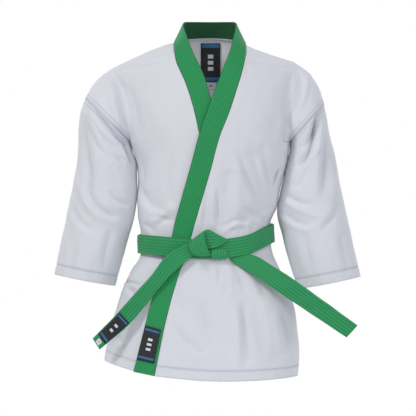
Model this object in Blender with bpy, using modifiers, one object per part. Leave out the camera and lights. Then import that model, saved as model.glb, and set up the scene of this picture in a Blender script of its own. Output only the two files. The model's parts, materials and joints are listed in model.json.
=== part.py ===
"""A tang soo do jacket with its belt, filled out as if worn, with nobody in it.

Metres, +Z up, the front looks along -Y. The origin lies between the two points
where the shoulder seams meet the collar. Left and right in names are the wearer's.
"""
import math

import bpy
import numpy as np

MM = 0.001

# Cloth and sewing
WALL = 1.8 * MM
BAND_WALL = 3.0 * MM
BELT_WALL = 3.2 * MM
LABEL_WALL = 0.8 * MM
LAPEL_LABEL_REST = 1.6 * MM
STRAP_LABEL_REST = 0.5 * MM
LABEL_MARGIN = 0.06
LAPEL_LABEL_LOW = -710 * MM
LAPEL_LABEL_HIGH = -636 * MM
SEAM_GAP = 0.3 * MM
SEAM_LIP = 2.0 * MM
LAPEL_GAP = 1.3 * MM
NECK_SEAM_GAP = 0.8 * MM
ARMPIT_GAP = 1.2 * MM
UNDER_LAYER = 7.5 * MM
UNDER_RAMP = 60 * MM
UNDER_FULL_Z = -110 * MM
UNDER_NONE_Z = -40 * MM

# Levels
ARMPIT_Z = -220.5 * MM
VENT_TOP_Z = -560 * MM
VENT_GAP = 5 * MM
VENT_REACH = 150 * MM
NECK_HALF = 80 * MM
NECK_BACK_Y = 75 * MM
NECK_BACK_Z = 19 * MM
STAND_START_Z = -90 * MM
STAND_FULL_Z = -5 * MM
ROUNDNESS = 2.4
SHOULDER_ROUNDNESS = 2.2

# Belt
BELT_WIDTH = 40 * MM
BELT_CLEARANCE = 2.6 * MM
CINCH = 0.035
CINCH_FLAT = 23 * MM
CINCH_MIDDLE = 42 * MM
CINCH_REACH = 62 * MM

# Sleeves
ARM_DEPTH = 62 * MM
ARM_FADE = 150 * MM
ARM_BLEND = 10 * MM
EVEN_FROM_RISE = 0.3

# Folds fade out where the body is shallower than this
FOLD_DEPTH_MIN = 40 * MM
FOLD_SHARPNESS = 1.4

# How finely the pieces are divided
HEM_ROWS = 6
CHEST_ROWS = 4
SHOULDER_ROWS = 9
FRONT_COLUMNS = 15
BACK_COLUMNS = 25
COLLAR_ROWS = 12
SLEEVE_RINGS = 12
SLEEVE_SIDES = 24
BELT_SIDES = 56
SETTLE_STEPS = 4


def table(columns, *rows):
    """A table in millimetres, one named column each, kept in metres"""
    values = np.array(rows, float) * MM
    return {name: values[:, i] for i, name in enumerate(columns.split())}


# Half outline of the body below the armpits: edges seen from the front, and depths
BODY = table(
    "z left right front back",
    (-760, -238, 195, 129, 120),
    (-706, -236, 200, 130, 122),
    (-643, -223, 195, 128, 120),
    (-585, -207, 187, 125, 117),
    (-538, -190, 168, 120, 112),
    (-503, -173, 154, 115, 107),
    (-482, -162, 144, 111, 103),
    (-440, -160, 142, 111, 103),
    (-400, -160, 141, 111, 103),
    (-365, -162, 150, 117, 108),
    (-328, -162, 157, 121, 111),
    (-272, -163, 171, 124, 113),
    (-220.5, -180, 180, 124, 114),
)

# Top outline of the shoulders, from one armhole seam to the other
SHOULDER = table(
    "x z",
    (-280, -122),
    (-265, -94),
    (-254, -81),
    (-238, -67),
    (-218, -54),
    (-189, -40),
    (-160, -27),
    (-130, -13.5),
    (-99, -2),
    (-80, 2),
    (0, 19),
    (80, -2),
    (101, -12),
    (144, -27),
    (187, -40),
    (209, -54),
    (225, -67),
    (234, -81),
    (243, -94),
    (249, -108),
    (256.5, -135),
)

# Line at each chest side where the sleeve side folds back, from armpit to shoulder
CHEST_SIDE = table("rise left right", (0, -180, 180), (400, -196, 187), (1000, -226, 202))

# Height of the front hem and of the belt's middle, across the front
HEM = table(
    "x front back",
    (-238, -709, -712),
    (-174, -728, -728),
    (-125, -737, -736),
    (-88, -741, -742),
    (0, -748, -748),
    (97, -748, -748),
    (195, -744, -744),
)
BELT_LINE = table(
    "x front back",
    (-160, -449, -449),
    (-90, -454, -446),
    (-45, -458, -444),
    (40, -457, -437),
    (85, -449, -432),
    (140, -424, -425),
)

# Edges of the lapel band: the seam to the panel, and the free edge
OVER_LAPEL = table(
    "seam_x seam_z free_x free_z free_y",
    (-124, -737, -168, -729, 0),
    (-92, -588, -129, -577, 0),
    (-39.5, -417, -79, -408, 0),
    (0, -286, -41.5, -277, 0),
    (22, -207, -19.5, -198, 0),
    (39, -165, -5, -156, 0),
    (57, -111, 14, -106, 0),
    (73, -57, 36, -48, -90),
    (79, -25, 50, -10, -54),
    (80, -2, 57, 24, -18),
)
UNDER_LAPEL = table(
    "seam_x seam_z free_x free_z free_y",
    (125, -745, 166, -736, 0),
    (82, -588, 124, -579, 0),
    (35, -417, 77, -408, 0),
    (-1.5, -286, 41, -277, 0),
    (-25.5, -198, 17, -189, 0),
    (-39.5, -143, 2.5, -137, 0),
    (-57.7, -89, -16, -77, 0),
    (-74, -45, -36, -34, -84),
    (-79, -18, -50, 0, -50),
    (-80, 2, -58, 26, -18),
)

# Collar round the back of the neck, from the right shoulder to the left one
BACK_COLLAR = table(
    "free_x free_y free_z",
    (-60, 8, 41),
    (-57, 32, 50),
    (-42, 49, 52),
    (0, 54, 52),
    (42, 49, 52),
    (56, 32, 50),
    (59, 8, 40),
)

# Largest folds: a soft trough (positive depth) or ridge between two points of a face
FOLDS = table(
    "face x1 z1 x2 z2 width depth",
    (-1000, 42, -300, 30, -415, 16, 5),
    (-1000, 62, -290, 60, -400, 14, -4),
    (-1000, 100, -260, 128, -370, 26, 7),
    (-1000, 70, -395, 118, -372, 16, 5),
    (-1000, -140, -345, -100, -395, 16, 5),
    (-1000, -128, -395, -92, -372, 14, -5),
    (-1000, 60, -545, 150, -690, 30, 6),
    (-1000, -60, -590, 70, -700, 26, 4),
    (-1000, -175, -560, -205, -690, 22, 7),
    (1000, -60, -250, -30, -400, 26, 7),
    (1000, 60, -260, 34, -405, 26, 7),
    (1000, -90, -520, -130, -700, 34, 7),
    (1000, 80, -510, 120, -700, 34, 7),
)

# Sleeve rings: outer and inner point seen from the front, half depth, and middle
RIGHT_SLEEVE = table(
    "outer_x outer_z inner_x inner_z depth middle",
    (-280, -122, -180, -220.5, 62, 0),
    (-291, -153, -176, -246, 63, 0),
    (-295, -193, -166.5, -269, 64, 0),
    (-295, -238, -165, -294, 65, -1),
    (-304, -297, -164.5, -336, 65, -2),
    (-315, -351, -168.5, -380, 65, -4),
    (-326, -405, -182, -432, 64, -6),
    (-337.5, -459, -197, -488, 63, -8),
    (-348, -517, -212.6, -543, 61, -10),
)
LEFT_SLEEVE = table(
    "outer_x outer_z inner_x inner_z depth middle",
    (256.5, -135, 180, -220.5, 62, 0),
    (263, -171, 178.5, -243, 63, 0),
    (271, -209, 174, -269, 64, 0),
    (279, -250, 166, -304, 65, -1),
    (288, -297, 158, -344, 65, -2),
    (299, -346, 152.5, -381, 65, -4),
    (311.6, -405, 162.5, -432, 64, -6),
    (324, -463.5, 178, -490.5, 63, -8),
    (338, -522, 197, -550, 61, -10),
)

# Belt ends and knot: the two long edges of each strap, from its hidden start
RIGHT_END = table(
    "ax ay az bx by bz",
    (-34, -119.6, -440, -30, -118.6, -470),
    (-50, -122.6, -447, -42, -122.6, -476),
    (-92, -125.6, -469.5, -67, -125.6, -498),
    (-129, -121.6, -517, -107, -119.6, -539),
    (-165, -117.6, -557, -141, -113.6, -582),
    (-205, -111.6, -602, -181, -106.6, -628),
    (-258, -104.6, -656, -243, -98.6, -681),
)
LEFT_END = table(
    "ax ay az bx by bz",
    (88, -96.2, -469.5, 41, -110.2, -480.5),
    (114, -104.7, -481, 74, -116.7, -502.5),
    (148, -109.7, -502.5, 108, -118.7, -524),
    (184.7, -112.7, -526, 160, -117.2, -560),
    (255, -112.7, -577, 230, -109.7, -607),
    (323.9, -109.7, -627, 300, -105.7, -654),
)
KNOT_FRONT = table(
    "ax ay az bx by bz",
    (-44, -125.6, -443, -13.5, -127.3, -418.5),
    (-46, -129.9, -451, -12, -131.9, -434),
    (-44.5, -131.9, -460.5, -8, -132.9, -451.5),
    (-39.5, -128.9, -470, -1.5, -129.9, -466.5),
    (-35, -122.4, -474, 2.5, -122.9, -474),
)
KNOT_LOOP = table(
    "ax ay az bx by bz",
    (-30, -119.8, -450, -12.5, -121.8, -418),
    (-10, -119.8, -458, -2, -122.3, -416.5),
    (12, -119.8, -456, 15, -121.3, -425.5),
    (28, -118.3, -448, 28, -119.3, -432.5),
    (37, -116.8, -442.5, 39, -116.8, -437.5),
)
KNOT_TONGUE = table(
    "ax ay az bx by bz",
    (3.5, -118.1, -460.5, 30, -116.1, -458.5),
    (2.8, -122.9, -463.5, 36.5, -120.9, -462.5),
    (2.5, -125.4, -470, 39.5, -122.9, -470),
    (3, -123.4, -477, 39, -120.9, -477),
    (5, -117.9, -480.5, 36, -115.4, -480.5),
)

# Labels inside the back: where their middles sit, half sizes, and how far they stand off
NECK_LABEL = table("x z half_width half_height rest", (1.5, -35, 22.5, 43.5, 2.7))
SIZE_LABEL = table("x z half_width half_height rest", (1.5, -88, 13.5, 8, 0.8))

WHITE = (0.80, 0.82, 0.88)
GREEN = (0.035, 0.25, 0.10)
BELT_GREEN = (0.055, 0.32, 0.15)
BLACK = (0.012, 0.012, 0.014)


def read(data, key, value, column):
    """A column of a table at a place along its key, on a smooth curve through the rows"""
    keys = data[key]
    values = data[column]
    slopes = np.gradient(values, keys)
    i = int(np.clip(np.searchsorted(keys, value) - 1, 0, len(keys) - 2))
    span = keys[i + 1] - keys[i]
    t = float(np.clip((value - keys[i]) / span, 0, 1))
    start = values[i] * (1 + 2 * t) * (1 - t) ** 2 + values[i + 1] * t * t * (3 - 2 * t)
    return start + span * (slopes[i] * t * (1 - t) ** 2 - slopes[i + 1] * t * t * (1 - t))


def station(data, place):
    """A whole row of a table at a place from 0 to 1 along its rows"""
    count = len(next(iter(data.values())))
    rows = np.linspace(0, 1, count)
    return {name: read({"row": rows, name: data[name]}, "row", place, name) for name in data}


def ease(low, high, value):
    t = float(np.clip((value - low) / (high - low), 0, 1))
    return t * t * (3 - 2 * t)


def mix(a, b, t):
    return a + (b - a) * t


def superellipse(q, power):
    return max(0.0, 1 - abs(q) ** power) ** (1 / power)


def body_axis(z):
    """Middle and half width of the body, seen from the front, at a height"""
    z = min(z, ARMPIT_Z)
    left = read(BODY, "z", z, "left")
    right = read(BODY, "z", z, "right")
    return (left + right) / 2, (right - left) / 2


def shoulder_z(x):
    """Height of the shoulder line, or over the neck of the back neckline"""
    if abs(x) < NECK_HALF:
        side = read(SHOULDER, "x", math.copysign(NECK_HALF, x), "z")
        return mix(side, NECK_BACK_Z, math.sqrt(1 - (x / NECK_HALF) ** 2))
    return float(np.interp(x, SHOULDER["x"], SHOULDER["z"]))


def neckline_y(x):
    return NECK_BACK_Y * math.sqrt(max(0.0, 1 - (x / NECK_HALF) ** 2))


def body_depth(x, z, face):
    """Depth of the chest or back in front of or behind the side seams"""
    if z <= ARMPIT_Z:
        middle, half = body_axis(z)
        q = np.clip((x - middle) / half, -1, 1)
        return read(BODY, "z", z, face) * superellipse(q, ROUNDNESS)
    rise = float(np.clip((z - ARMPIT_Z) / (shoulder_z(x) - ARMPIT_Z), 0, 1))
    left = read(CHEST_SIDE, "rise", rise, "left")
    right = read(CHEST_SIDE, "rise", rise, "right")
    q = np.clip((2 * x - left - right) / (right - left), -1, 1)
    full = read(BODY, "z", ARMPIT_Z, face) * superellipse(q, ROUNDNESS)
    top = 0.0
    if face == "back" and abs(x) < NECK_HALF:
        top = neckline_y(x)
    return top + (full - top) * superellipse(rise, SHOULDER_ROUNDNESS)


def fold_depth(x, z, face):
    """How far the folds press the cloth in at a point of a face"""
    total = 0.0
    side = -1 if face == "front" else 1
    for i in range(len(FOLDS["x1"])):
        if FOLDS["face"][i] != side:
            continue
        start = np.array((FOLDS["x1"][i], FOLDS["z1"][i]))
        along = np.array((FOLDS["x2"][i], FOLDS["z2"][i])) - start
        t = float(np.dot(np.array((x, z)) - start, along) / np.dot(along, along))
        near = start + along * np.clip(t, 0, 1)
        off = math.hypot(x - near[0], z - near[1]) / FOLDS["width"][i]
        total += FOLDS["depth"][i] * math.exp(-off * off * FOLD_SHARPNESS)
    return total


def belt_pull(x, z, face):
    """How strongly the belt draws the cloth in, from 0 to 1"""
    away = abs(z - read(BELT_LINE, "x", x, face))
    return 1 - ease(CINCH_FLAT, CINCH_REACH, away)


def body_point(x, z, face, arm=0.0, sink=0.0):
    """A point of the jacket's body, seen from the front at x, z"""
    depth = body_depth(x, z, face)
    gap = abs(depth - arm)
    depth = max(depth, arm)
    if arm > 0 and gap < ARM_BLEND:
        depth += (ARM_BLEND - gap) ** 2 / (4 * ARM_BLEND) * min(1.0, arm / ARM_BLEND)
    pull = belt_pull(x, z, face)
    flat = min(1.0, depth / FOLD_DEPTH_MIN)
    depth -= fold_depth(x, z, face) * (1 - pull) * flat
    side = -1 if face == "front" else 1
    middle, _half = body_axis(z)
    scale = 1 - CINCH * pull
    across = (x - middle) * scale
    out = side * max(depth, 0.0) * scale
    reach = math.hypot(across, out)
    scale = 1 - sink / max(reach, sink * 4, 1e-6)
    return np.array((middle + across * scale, out * scale, z))


def level_rows(x, face):
    """Heights of the rows of cloth at x, from the hem to the armpit level"""
    hem = read(HEM, "x", x, face)
    belt = read(BELT_LINE, "x", x, face)
    rows = list(np.linspace(hem, belt - CINCH_REACH, HEM_ROWS)[:-1])
    rows += [belt + step for step in (-CINCH_REACH, -CINCH_MIDDLE, -CINCH_FLAT)]
    rows += [belt + step for step in (CINCH_FLAT, CINCH_MIDDLE, CINCH_REACH)]
    rows += list(np.linspace(belt + CINCH_REACH, ARMPIT_Z, CHEST_ROWS)[1:])
    return rows


def lapel_x(lapel, z):
    return read(lapel, "seam_z", z, "seam_x")


def spread(base, rise):
    """Shares of the width for a row above the armpits: close at the sides, then even"""
    start = base[0][0]
    stop = base[-1][0]
    even = np.linspace(0, 1, len(base))
    close = [(point[0] - start) / (stop - start) for point in base]
    return [mix(a, b, ease(0, EVEN_FROM_RISE, rise)) for a, b in zip(close, even)]


def arm_at(rise, distance):
    """Depth of the sleeve's roundness, carried a little way into the body"""
    round_arm = math.sqrt(max(0.0, 1 - (2 * rise - 1) ** 2))
    return ARM_DEPTH * round_arm * (1 - ease(0, ARM_FADE, distance))


def seam_side(z):
    """How far the side seam's edge lies off the side, opening below the vent's top"""
    return SEAM_GAP / 2 + VENT_GAP * ease(0, 1, (VENT_TOP_Z - z) / VENT_REACH)


def front_panel(hand):
    """Rows of points of a front, from its side seam to its lapel seam"""
    under = hand == "right"
    lapel = UNDER_LAPEL if under else OVER_LAPEL
    arm_rings = RIGHT_SLEEVE if under else LEFT_SLEEVE
    way = 1 if under else -1
    turn = np.linspace(0, 1, FRONT_COLUMNS)
    rows = []
    levels = len(level_rows(0, "front"))
    for k in range(levels):
        row = []
        for share in turn:
            x = 0.0
            z = ARMPIT_Z
            for _again in range(SETTLE_STEPS):
                z = level_rows(x, "front")[k]
                middle, half = body_axis(z)
                seam = lapel_x(lapel, z) - way * LAPEL_GAP
                reach = math.acos(np.clip(-way * (seam - middle) / half, -1, 1))
                x = middle - way * half * math.cos(reach * share)
            row.append((x, z, 0.0))
        rows.append(row)
    base = rows[-1]
    start = base[0][0]
    stop = base[-1][0]
    top_start = arm_rings["outer_x"][0]
    top_stop = -way * (NECK_HALF + LAPEL_GAP)
    for rise in np.sin(np.linspace(0, 1, SHOULDER_ROWS + 1)[1:] * math.pi / 2):
        row = []
        for share in spread(base, rise):
            x_top = mix(top_start, top_stop, share)
            z = mix(ARMPIT_Z, shoulder_z(x_top), rise)
            straight = mix(mix(start, stop, share), x_top, rise)
            seam = lapel_x(lapel, z) - way * LAPEL_GAP
            line = mix(stop, top_stop, rise)
            x = straight + (seam - line) * share ** 3
            away = abs(x - mix(start, top_start, rise))
            row.append((x, z, arm_at(rise, away)))
        rows.append(row)
    return rows


def under_depth(z):
    """How far the under front and its lapel lie below the over ones at a height"""
    return UNDER_LAYER * (1 - ease(UNDER_FULL_Z, UNDER_NONE_Z, z))


def front_points(hand):
    under = hand == "right"
    cloth = []
    for row in front_panel(hand):
        points = []
        for x, z, arm in row:
            ramp = ease(0, UNDER_RAMP, abs(x - row[0][0]))
            sink = under_depth(z) * ramp if under else 0.0
            points.append(body_point(x, z, "front", arm, sink))
        cloth.append(points)
    return cloth


def armhole_square(data):
    """Unit vector square to the armhole seam, pointing down the sleeve"""
    square = np.array((
        data["outer_z"][0] - data["inner_z"][0],
        0,
        data["inner_x"][0] - data["outer_x"][0],
    ))
    return square * math.copysign(1, -square[2]) / np.linalg.norm(square)


def lipped(cloth, levels, data, face, end=0):
    """Squares the cloth up to its side seam and to its armhole seam, at one end of each row"""
    square = armhole_square(data)
    side = -1 if face == "front" else 1
    rows = []
    for k, row in enumerate(cloth):
        edge = row[end].copy()
        if k < levels or k == len(cloth) - 1:
            edge[1] = side * SEAM_GAP / 2
        if k < levels and edge[2] < VENT_TOP_Z:
            edge[1] = side * seam_side(edge[2])
        if k == levels - 1:
            edge[1] = side * ARMPIT_GAP
        if k >= levels - 1:
            edge -= square * SEAM_GAP / 2
        lip = edge.copy()
        if k < levels:
            lip[1] += side * SEAM_LIP
        else:
            lip -= square * SEAM_LIP
        if end == 0:
            rows.append([edge, lip] + row[1:])
        else:
            rows.append(row[:-1] + [lip, edge])
    return rows


def shoulder_lip(cloth, face):
    """Squares the top row up to the shoulder seam, and to the neckline between the shoulders"""
    side = -1 if face == "front" else 1
    top = []
    below = []
    for point in cloth[-1]:
        edge = point.copy()
        lip = point.copy()
        if face == "back" and abs(point[0]) < NECK_HALF:
            lip[2] -= SEAM_LIP
        else:
            near_neck = 1 - ease(NECK_HALF, NECK_HALF * 1.6, abs(point[0]))
            gap = SEAM_GAP / 2 + NECK_SEAM_GAP * near_neck
            edge[1] = side * gap
            lip[1] = side * (gap + SEAM_LIP)
        top.append(edge)
        below.append(lip)
    return cloth[:-1] + [below, top]


def back_points():
    """Rows of points of the back, from the right side seam to the left one"""
    turn = np.linspace(0, math.pi, BACK_COLUMNS)
    levels = len(level_rows(0, "back"))
    rows = []
    for k in range(levels):
        row = []
        for angle in turn:
            x = 0.0
            z = ARMPIT_Z
            for _again in range(SETTLE_STEPS):
                z = level_rows(x, "back")[k]
                middle, half = body_axis(z)
                x = middle - half * math.cos(angle)
            row.append((x, z, 0.0))
        rows.append(row)
    base = rows[-1]
    start = base[0][0]
    stop = base[-1][0]
    top_start = RIGHT_SLEEVE["outer_x"][0]
    top_stop = LEFT_SLEEVE["outer_x"][0]
    for rise in np.sin(np.linspace(0, 1, SHOULDER_ROWS + 1)[1:] * math.pi / 2):
        row = []
        for share in spread(base, rise):
            x_top = mix(top_start, top_stop, share)
            x = mix(mix(start, stop, share), x_top, rise)
            z = mix(ARMPIT_Z, shoulder_z(x_top), rise)
            away = min(abs(x - mix(start, top_start, rise)), abs(x - mix(stop, top_stop, rise)))
            row.append((x, z, arm_at(rise, away)))
        rows.append(row)
    return [[body_point(x, z, "back", arm) for x, z, arm in row] for row in rows]


def material(name, colour, roughness):
    made = bpy.data.materials.new(name)
    made.use_nodes = True
    shader = made.node_tree.nodes["Principled BSDF"]
    shader.inputs["Base Color"].default_value = (*colour, 1)
    shader.inputs["Roughness"].default_value = roughness
    shader.inputs["Metallic"].default_value = 0.0
    return made


def sheet(name, rows, look, wall, outward, offset=-1, ring=False):
    """An open sheet through rows of points, given its wall by Solidify"""
    mesh = bpy.data.meshes.new(name)
    across = len(rows[0])
    points = [tuple(point) for row in rows for point in row]
    faces = []
    for i in range(len(rows) - 1):
        for j in range(across if ring else across - 1):
            a = i * across + j
            b = i * across + (j + 1) % across
            faces.append((a, b, b + across, a + across))
    mesh.from_pydata(points, [], faces)
    mesh.update()
    facing = sum(polygon.normal.dot(outward(polygon.center)) * polygon.area for polygon in mesh.polygons)
    if facing < 0:
        mesh.flip_normals()
    made = bpy.data.objects.new(name, mesh)
    parts.objects.link(made)
    mesh.materials.append(look)
    mesh.shade_smooth()
    solid = made.modifiers.new("Wall", "SOLIDIFY")
    solid.thickness = wall
    solid.offset = offset
    solid.use_even_offset = True
    solid.use_rim = True
    return made


def from_axis(center):
    """Outward direction of the body at a point"""
    middle, _half = body_axis(center.z)
    lift = max(0.0, center.z - ARMPIT_Z) * 0.5
    return type(center)((center.x - middle, center.y, lift))


def to_front(_center):
    return type(_center)((0, -1, 0))


def sleeve(name, data):
    """A tube of rings that lean from the armhole seam to the cuff"""
    rows = []
    for place in np.linspace(0, 1, SLEEVE_RINGS + 1):
        ring = station(data, place)
        outer = np.array((ring["outer_x"], ring["middle"], ring["outer_z"]))
        inner = np.array((ring["inner_x"], ring["middle"], ring["inner_z"]))
        middle = (outer + inner) / 2
        reach = (outer - inner) / 2
        side = np.array((0, ring["depth"], 0))
        angles = np.linspace(0, 2 * math.pi, SLEEVE_SIDES, endpoint=False)
        rows.append([middle + reach * math.cos(a) + side * math.sin(a) for a in angles])
    square = armhole_square(data)
    rows[0] = [point + square * SEAM_GAP / 2 for point in rows[0]]
    rows.insert(1, [point + square * SEAM_LIP for point in rows[0]])

    def outward(center):
        spine = [np.mean(row, axis=0) for row in rows]
        near = min(spine, key=lambda point: abs(point[2] - center.z))
        return type(center)((center.x - near[0], center.y - near[1], 0))

    return sheet(name, rows, white_cloth, WALL, outward, ring=True)


def lapel_rows(hand, columns=4):
    """Rows of points across one lapel, seam edge first, level with its panel's rows"""
    under = hand == "right"
    lapel = UNDER_LAPEL if under else OVER_LAPEL
    rows = []
    for line in front_panel(hand):
        seam_z = line[-1][1]
        edge = {name: read(lapel, "seam_z", seam_z, name) for name in lapel}
        standing = ease(STAND_START_Z, STAND_FULL_Z, seam_z)
        sink = WALL + (under_depth(seam_z) if under else 0.0)
        seam = body_point(edge["seam_x"], seam_z, "front", 0.0, sink)
        row = []
        for share in np.linspace(0, 1, columns):
            x = mix(edge["seam_x"], edge["free_x"], share)
            z = mix(seam_z, edge["free_z"], share)
            point = body_point(x, z, "front", 0.0, sink)
            straight = mix(seam[1], edge["free_y"], share)
            point[1] = mix(point[1], straight, standing)
            row.append(point)
        rows.append(row)
    return rows


def collar_band():
    """The band: up the under lapel, round the neck and down the over lapel"""
    rows = lapel_rows("right")
    for share in np.linspace(0, 1, COLLAR_ROWS + 1)[1:-1]:
        x = -NECK_HALF * math.cos(math.pi * share)
        free = station(BACK_COLLAR, share)
        seam = np.array((x, neckline_y(x), shoulder_z(x) + SEAM_GAP * 2))
        edge = np.array((free["free_x"], free["free_y"], free["free_z"]))
        rows.append([mix(seam, edge, j / 3) for j in range(4)])
    rows += lapel_rows("left")[::-1]

    def outward(center):
        return type(center)((center.x * 0.6, center.y, 0))

    return sheet("collar_band", rows, green_band, BAND_WALL, outward, offset=1)


def belt_loop():
    """The stretch of belt round the waist, two turns lying on each other"""
    rows = []
    heights = (-BELT_WIDTH / 2, 0, BELT_WIDTH / 2)
    for angle in np.linspace(0, 2 * math.pi, BELT_SIDES, endpoint=False):
        face = "front" if math.sin(angle) < 0 else "back"
        belt_z = BELT_LINE["front"][0]
        for _again in range(SETTLE_STEPS):
            middle, half = body_axis(belt_z)
            x = middle + half * math.cos(angle)
            belt_z = read(BELT_LINE, "x", x, face)
        row = []
        for height in heights:
            middle, half = body_axis(belt_z + height)
            x = middle + half * math.cos(angle)
            point = body_point(x, belt_z + height, face)
            out = np.array((point[0] - middle, point[1], 0))
            point += out * BELT_CLEARANCE / np.linalg.norm(out)
            row.append(point)
        rows.append(row)
    columns = [[row[j] for row in rows] for j in range(len(heights))]
    return sheet("belt_waist", columns, green_belt, 2 * BELT_WALL, from_axis, offset=1, ring=True)


def strap(name, data, look, rows=12, columns=4, crown=0.0):
    """A flat strap between two long edges"""
    points = []
    for k in range(rows + 1):
        edge = station(data, k / rows)
        a = np.array((edge["ax"], edge["ay"], edge["az"]))
        b = np.array((edge["bx"], edge["by"], edge["bz"]))
        row = []
        for j in range(columns):
            share = j / (columns - 1)
            point = mix(a, b, share)
            point[1] -= crown * 4 * share * (1 - share)
            row.append(point)
        points.append(row)
    return sheet(name, points, look, BELT_WALL, to_front, offset=-1)


def back_label(name, data, look):
    """A label sewn on the inside of the back below the neck"""
    rows = []
    for up in np.linspace(-1, 1, 5):
        row = []
        for side in np.linspace(-1, 1, 4):
            x = data["x"][0] + side * data["half_width"][0]
            z = data["z"][0] + up * data["half_height"][0]
            point = body_point(x, z, "back")
            point[1] -= WALL + data["rest"][0]
            row.append(point)
        rows.append(row)
    return sheet(name, rows, look, LABEL_WALL, to_front, offset=1)


def lapel_label():
    """The label sewn on the low end of the over lapel"""
    rows = []
    rest = BAND_WALL - WALL + LAPEL_LABEL_REST
    for seam_z in np.linspace(LAPEL_LABEL_LOW, LAPEL_LABEL_HIGH, 4):
        edge = {name: read(OVER_LAPEL, "seam_z", seam_z, name) for name in OVER_LAPEL}
        row = []
        for share in np.linspace(LABEL_MARGIN, 1 - LABEL_MARGIN, 4):
            x = mix(edge["seam_x"], edge["free_x"], share)
            z = mix(seam_z, edge["free_z"], share)
            row.append(body_point(x, z, "front", 0.0, -rest))
        rows.append(row)
    return sheet("label_lapel", rows, label_black, LABEL_WALL, to_front, offset=1)


def strap_label(name, data, start, stop, margin, look):
    """A label lying on a strap between two places along it"""
    rows = []
    for place in np.linspace(start, stop, 4):
        edge = station(data, place)
        a = np.array((edge["ax"], edge["ay"] - STRAP_LABEL_REST, edge["az"]))
        b = np.array((edge["bx"], edge["by"] - STRAP_LABEL_REST, edge["bz"]))
        rows.append([mix(a, b, share) for share in np.linspace(margin, 1 - margin, 3)])
    return sheet(name, rows, look, LABEL_WALL, to_front, offset=1)


for thing in list(bpy.data.objects):
    bpy.data.objects.remove(thing, do_unlink=True)
parts = bpy.data.collections.new("tang_soo_do_jacket")
bpy.context.scene.collection.children.link(parts)

white_cloth = material("white_cloth", WHITE, 0.85)
green_band = material("green_band", GREEN, 0.8)
green_belt = material("green_belt", BELT_GREEN, 0.8)
label_black = material("label_black", BLACK, 0.6)

levels = len(level_rows(0, "front"))
right_cloth = shoulder_lip(front_points("right"), "front")
right_cloth = lipped(right_cloth, levels, RIGHT_SLEEVE, "front")
left_cloth = shoulder_lip(front_points("left"), "front")
left_cloth = lipped(left_cloth, levels, LEFT_SLEEVE, "front")
back_cloth = shoulder_lip(back_points(), "back")
back_cloth = lipped(back_cloth, levels, RIGHT_SLEEVE, "back")
back_cloth = lipped(back_cloth, levels, LEFT_SLEEVE, "back", end=-1)

sheet("front_right", right_cloth, white_cloth, WALL, from_axis)
sheet("front_left", left_cloth, white_cloth, WALL, from_axis)
sheet("back", back_cloth, white_cloth, WALL, from_axis)
sleeve("sleeve_right", RIGHT_SLEEVE)
sleeve("sleeve_left", LEFT_SLEEVE)
collar_band()
belt_loop()
strap("belt_end_right", RIGHT_END, green_belt)
strap("belt_end_left", LEFT_END, green_belt)
strap("knot_front", KNOT_FRONT, green_belt, rows=8, crown=2 * MM)
strap("knot_loop", KNOT_LOOP, green_belt, rows=6)
strap("knot_tongue", KNOT_TONGUE, green_belt, rows=8, crown=1.5 * MM)
back_label("label_neck", NECK_LABEL, label_black)
back_label("label_size", SIZE_LABEL, white_cloth)
lapel_label()
strap_label("label_belt", RIGHT_END, 0.815, 0.965, LABEL_MARGIN, label_black)
strap_label("label_tag", RIGHT_END, 0.972, 0.995, 0.3, white_cloth)
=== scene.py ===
# %% [markdown]
# # A martial arts wrap jacket with its belt
# The jacket is cotton cloth, filled out as if it were worn, with nobody in it. Cloth like that
# could be simulated over a dummy, but its outline is known, so each cut piece is made here as a
# grid of points that follows the body's form. Creases are then pressed into the grid, and a
# Solidify modifier gives the cloth its wall.

import json
import math

import bpy
import numpy as np
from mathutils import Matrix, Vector

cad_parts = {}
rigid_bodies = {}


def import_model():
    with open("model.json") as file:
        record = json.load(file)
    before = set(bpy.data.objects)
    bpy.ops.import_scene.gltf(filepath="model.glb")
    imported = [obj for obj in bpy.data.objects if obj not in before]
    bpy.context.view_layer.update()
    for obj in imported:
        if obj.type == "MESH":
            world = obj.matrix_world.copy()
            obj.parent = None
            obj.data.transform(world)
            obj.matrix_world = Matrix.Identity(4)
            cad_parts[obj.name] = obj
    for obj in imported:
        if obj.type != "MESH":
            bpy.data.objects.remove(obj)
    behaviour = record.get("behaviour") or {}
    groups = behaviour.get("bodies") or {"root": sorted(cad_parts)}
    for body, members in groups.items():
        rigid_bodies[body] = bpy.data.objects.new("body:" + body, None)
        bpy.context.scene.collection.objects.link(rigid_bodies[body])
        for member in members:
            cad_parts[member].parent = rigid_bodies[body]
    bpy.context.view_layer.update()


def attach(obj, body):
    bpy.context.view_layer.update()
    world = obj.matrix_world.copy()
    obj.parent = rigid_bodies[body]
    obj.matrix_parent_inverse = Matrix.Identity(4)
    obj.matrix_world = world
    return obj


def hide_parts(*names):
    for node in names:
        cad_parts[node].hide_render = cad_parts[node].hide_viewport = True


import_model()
bpy.ops.object.select_all(action="DESELECT")
MM = 0.001

# %% [markdown]
# The camera looks level at the middle of the jacket from 4.5 m away, through a long lens, so the
# jacket is seen almost without perspective. The frame is 0.936 m wide at the jacket's middle
# plane. The floor is pale and lies under the hem. It fades into an equally pale background.

# %% Camera
VIEW_DISTANCE = 4.5
VIEW_WIDTH = 0.936
VIEW_MIDDLE = (-0.0045, -0.369)
SENSOR = 36.0

lens = bpy.data.cameras.new("camera")
lens.sensor_width = SENSOR
lens.lens = SENSOR * VIEW_DISTANCE / VIEW_WIDTH
camera = bpy.data.objects.new("camera", lens)
camera.location = (VIEW_MIDDLE[0], -VIEW_DISTANCE, VIEW_MIDDLE[1])
camera.rotation_euler = (math.radians(90), 0, 0)
bpy.context.scene.collection.objects.link(camera)
bpy.context.scene.camera = camera
print("lens", round(lens.lens, 1), "mm")

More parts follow.
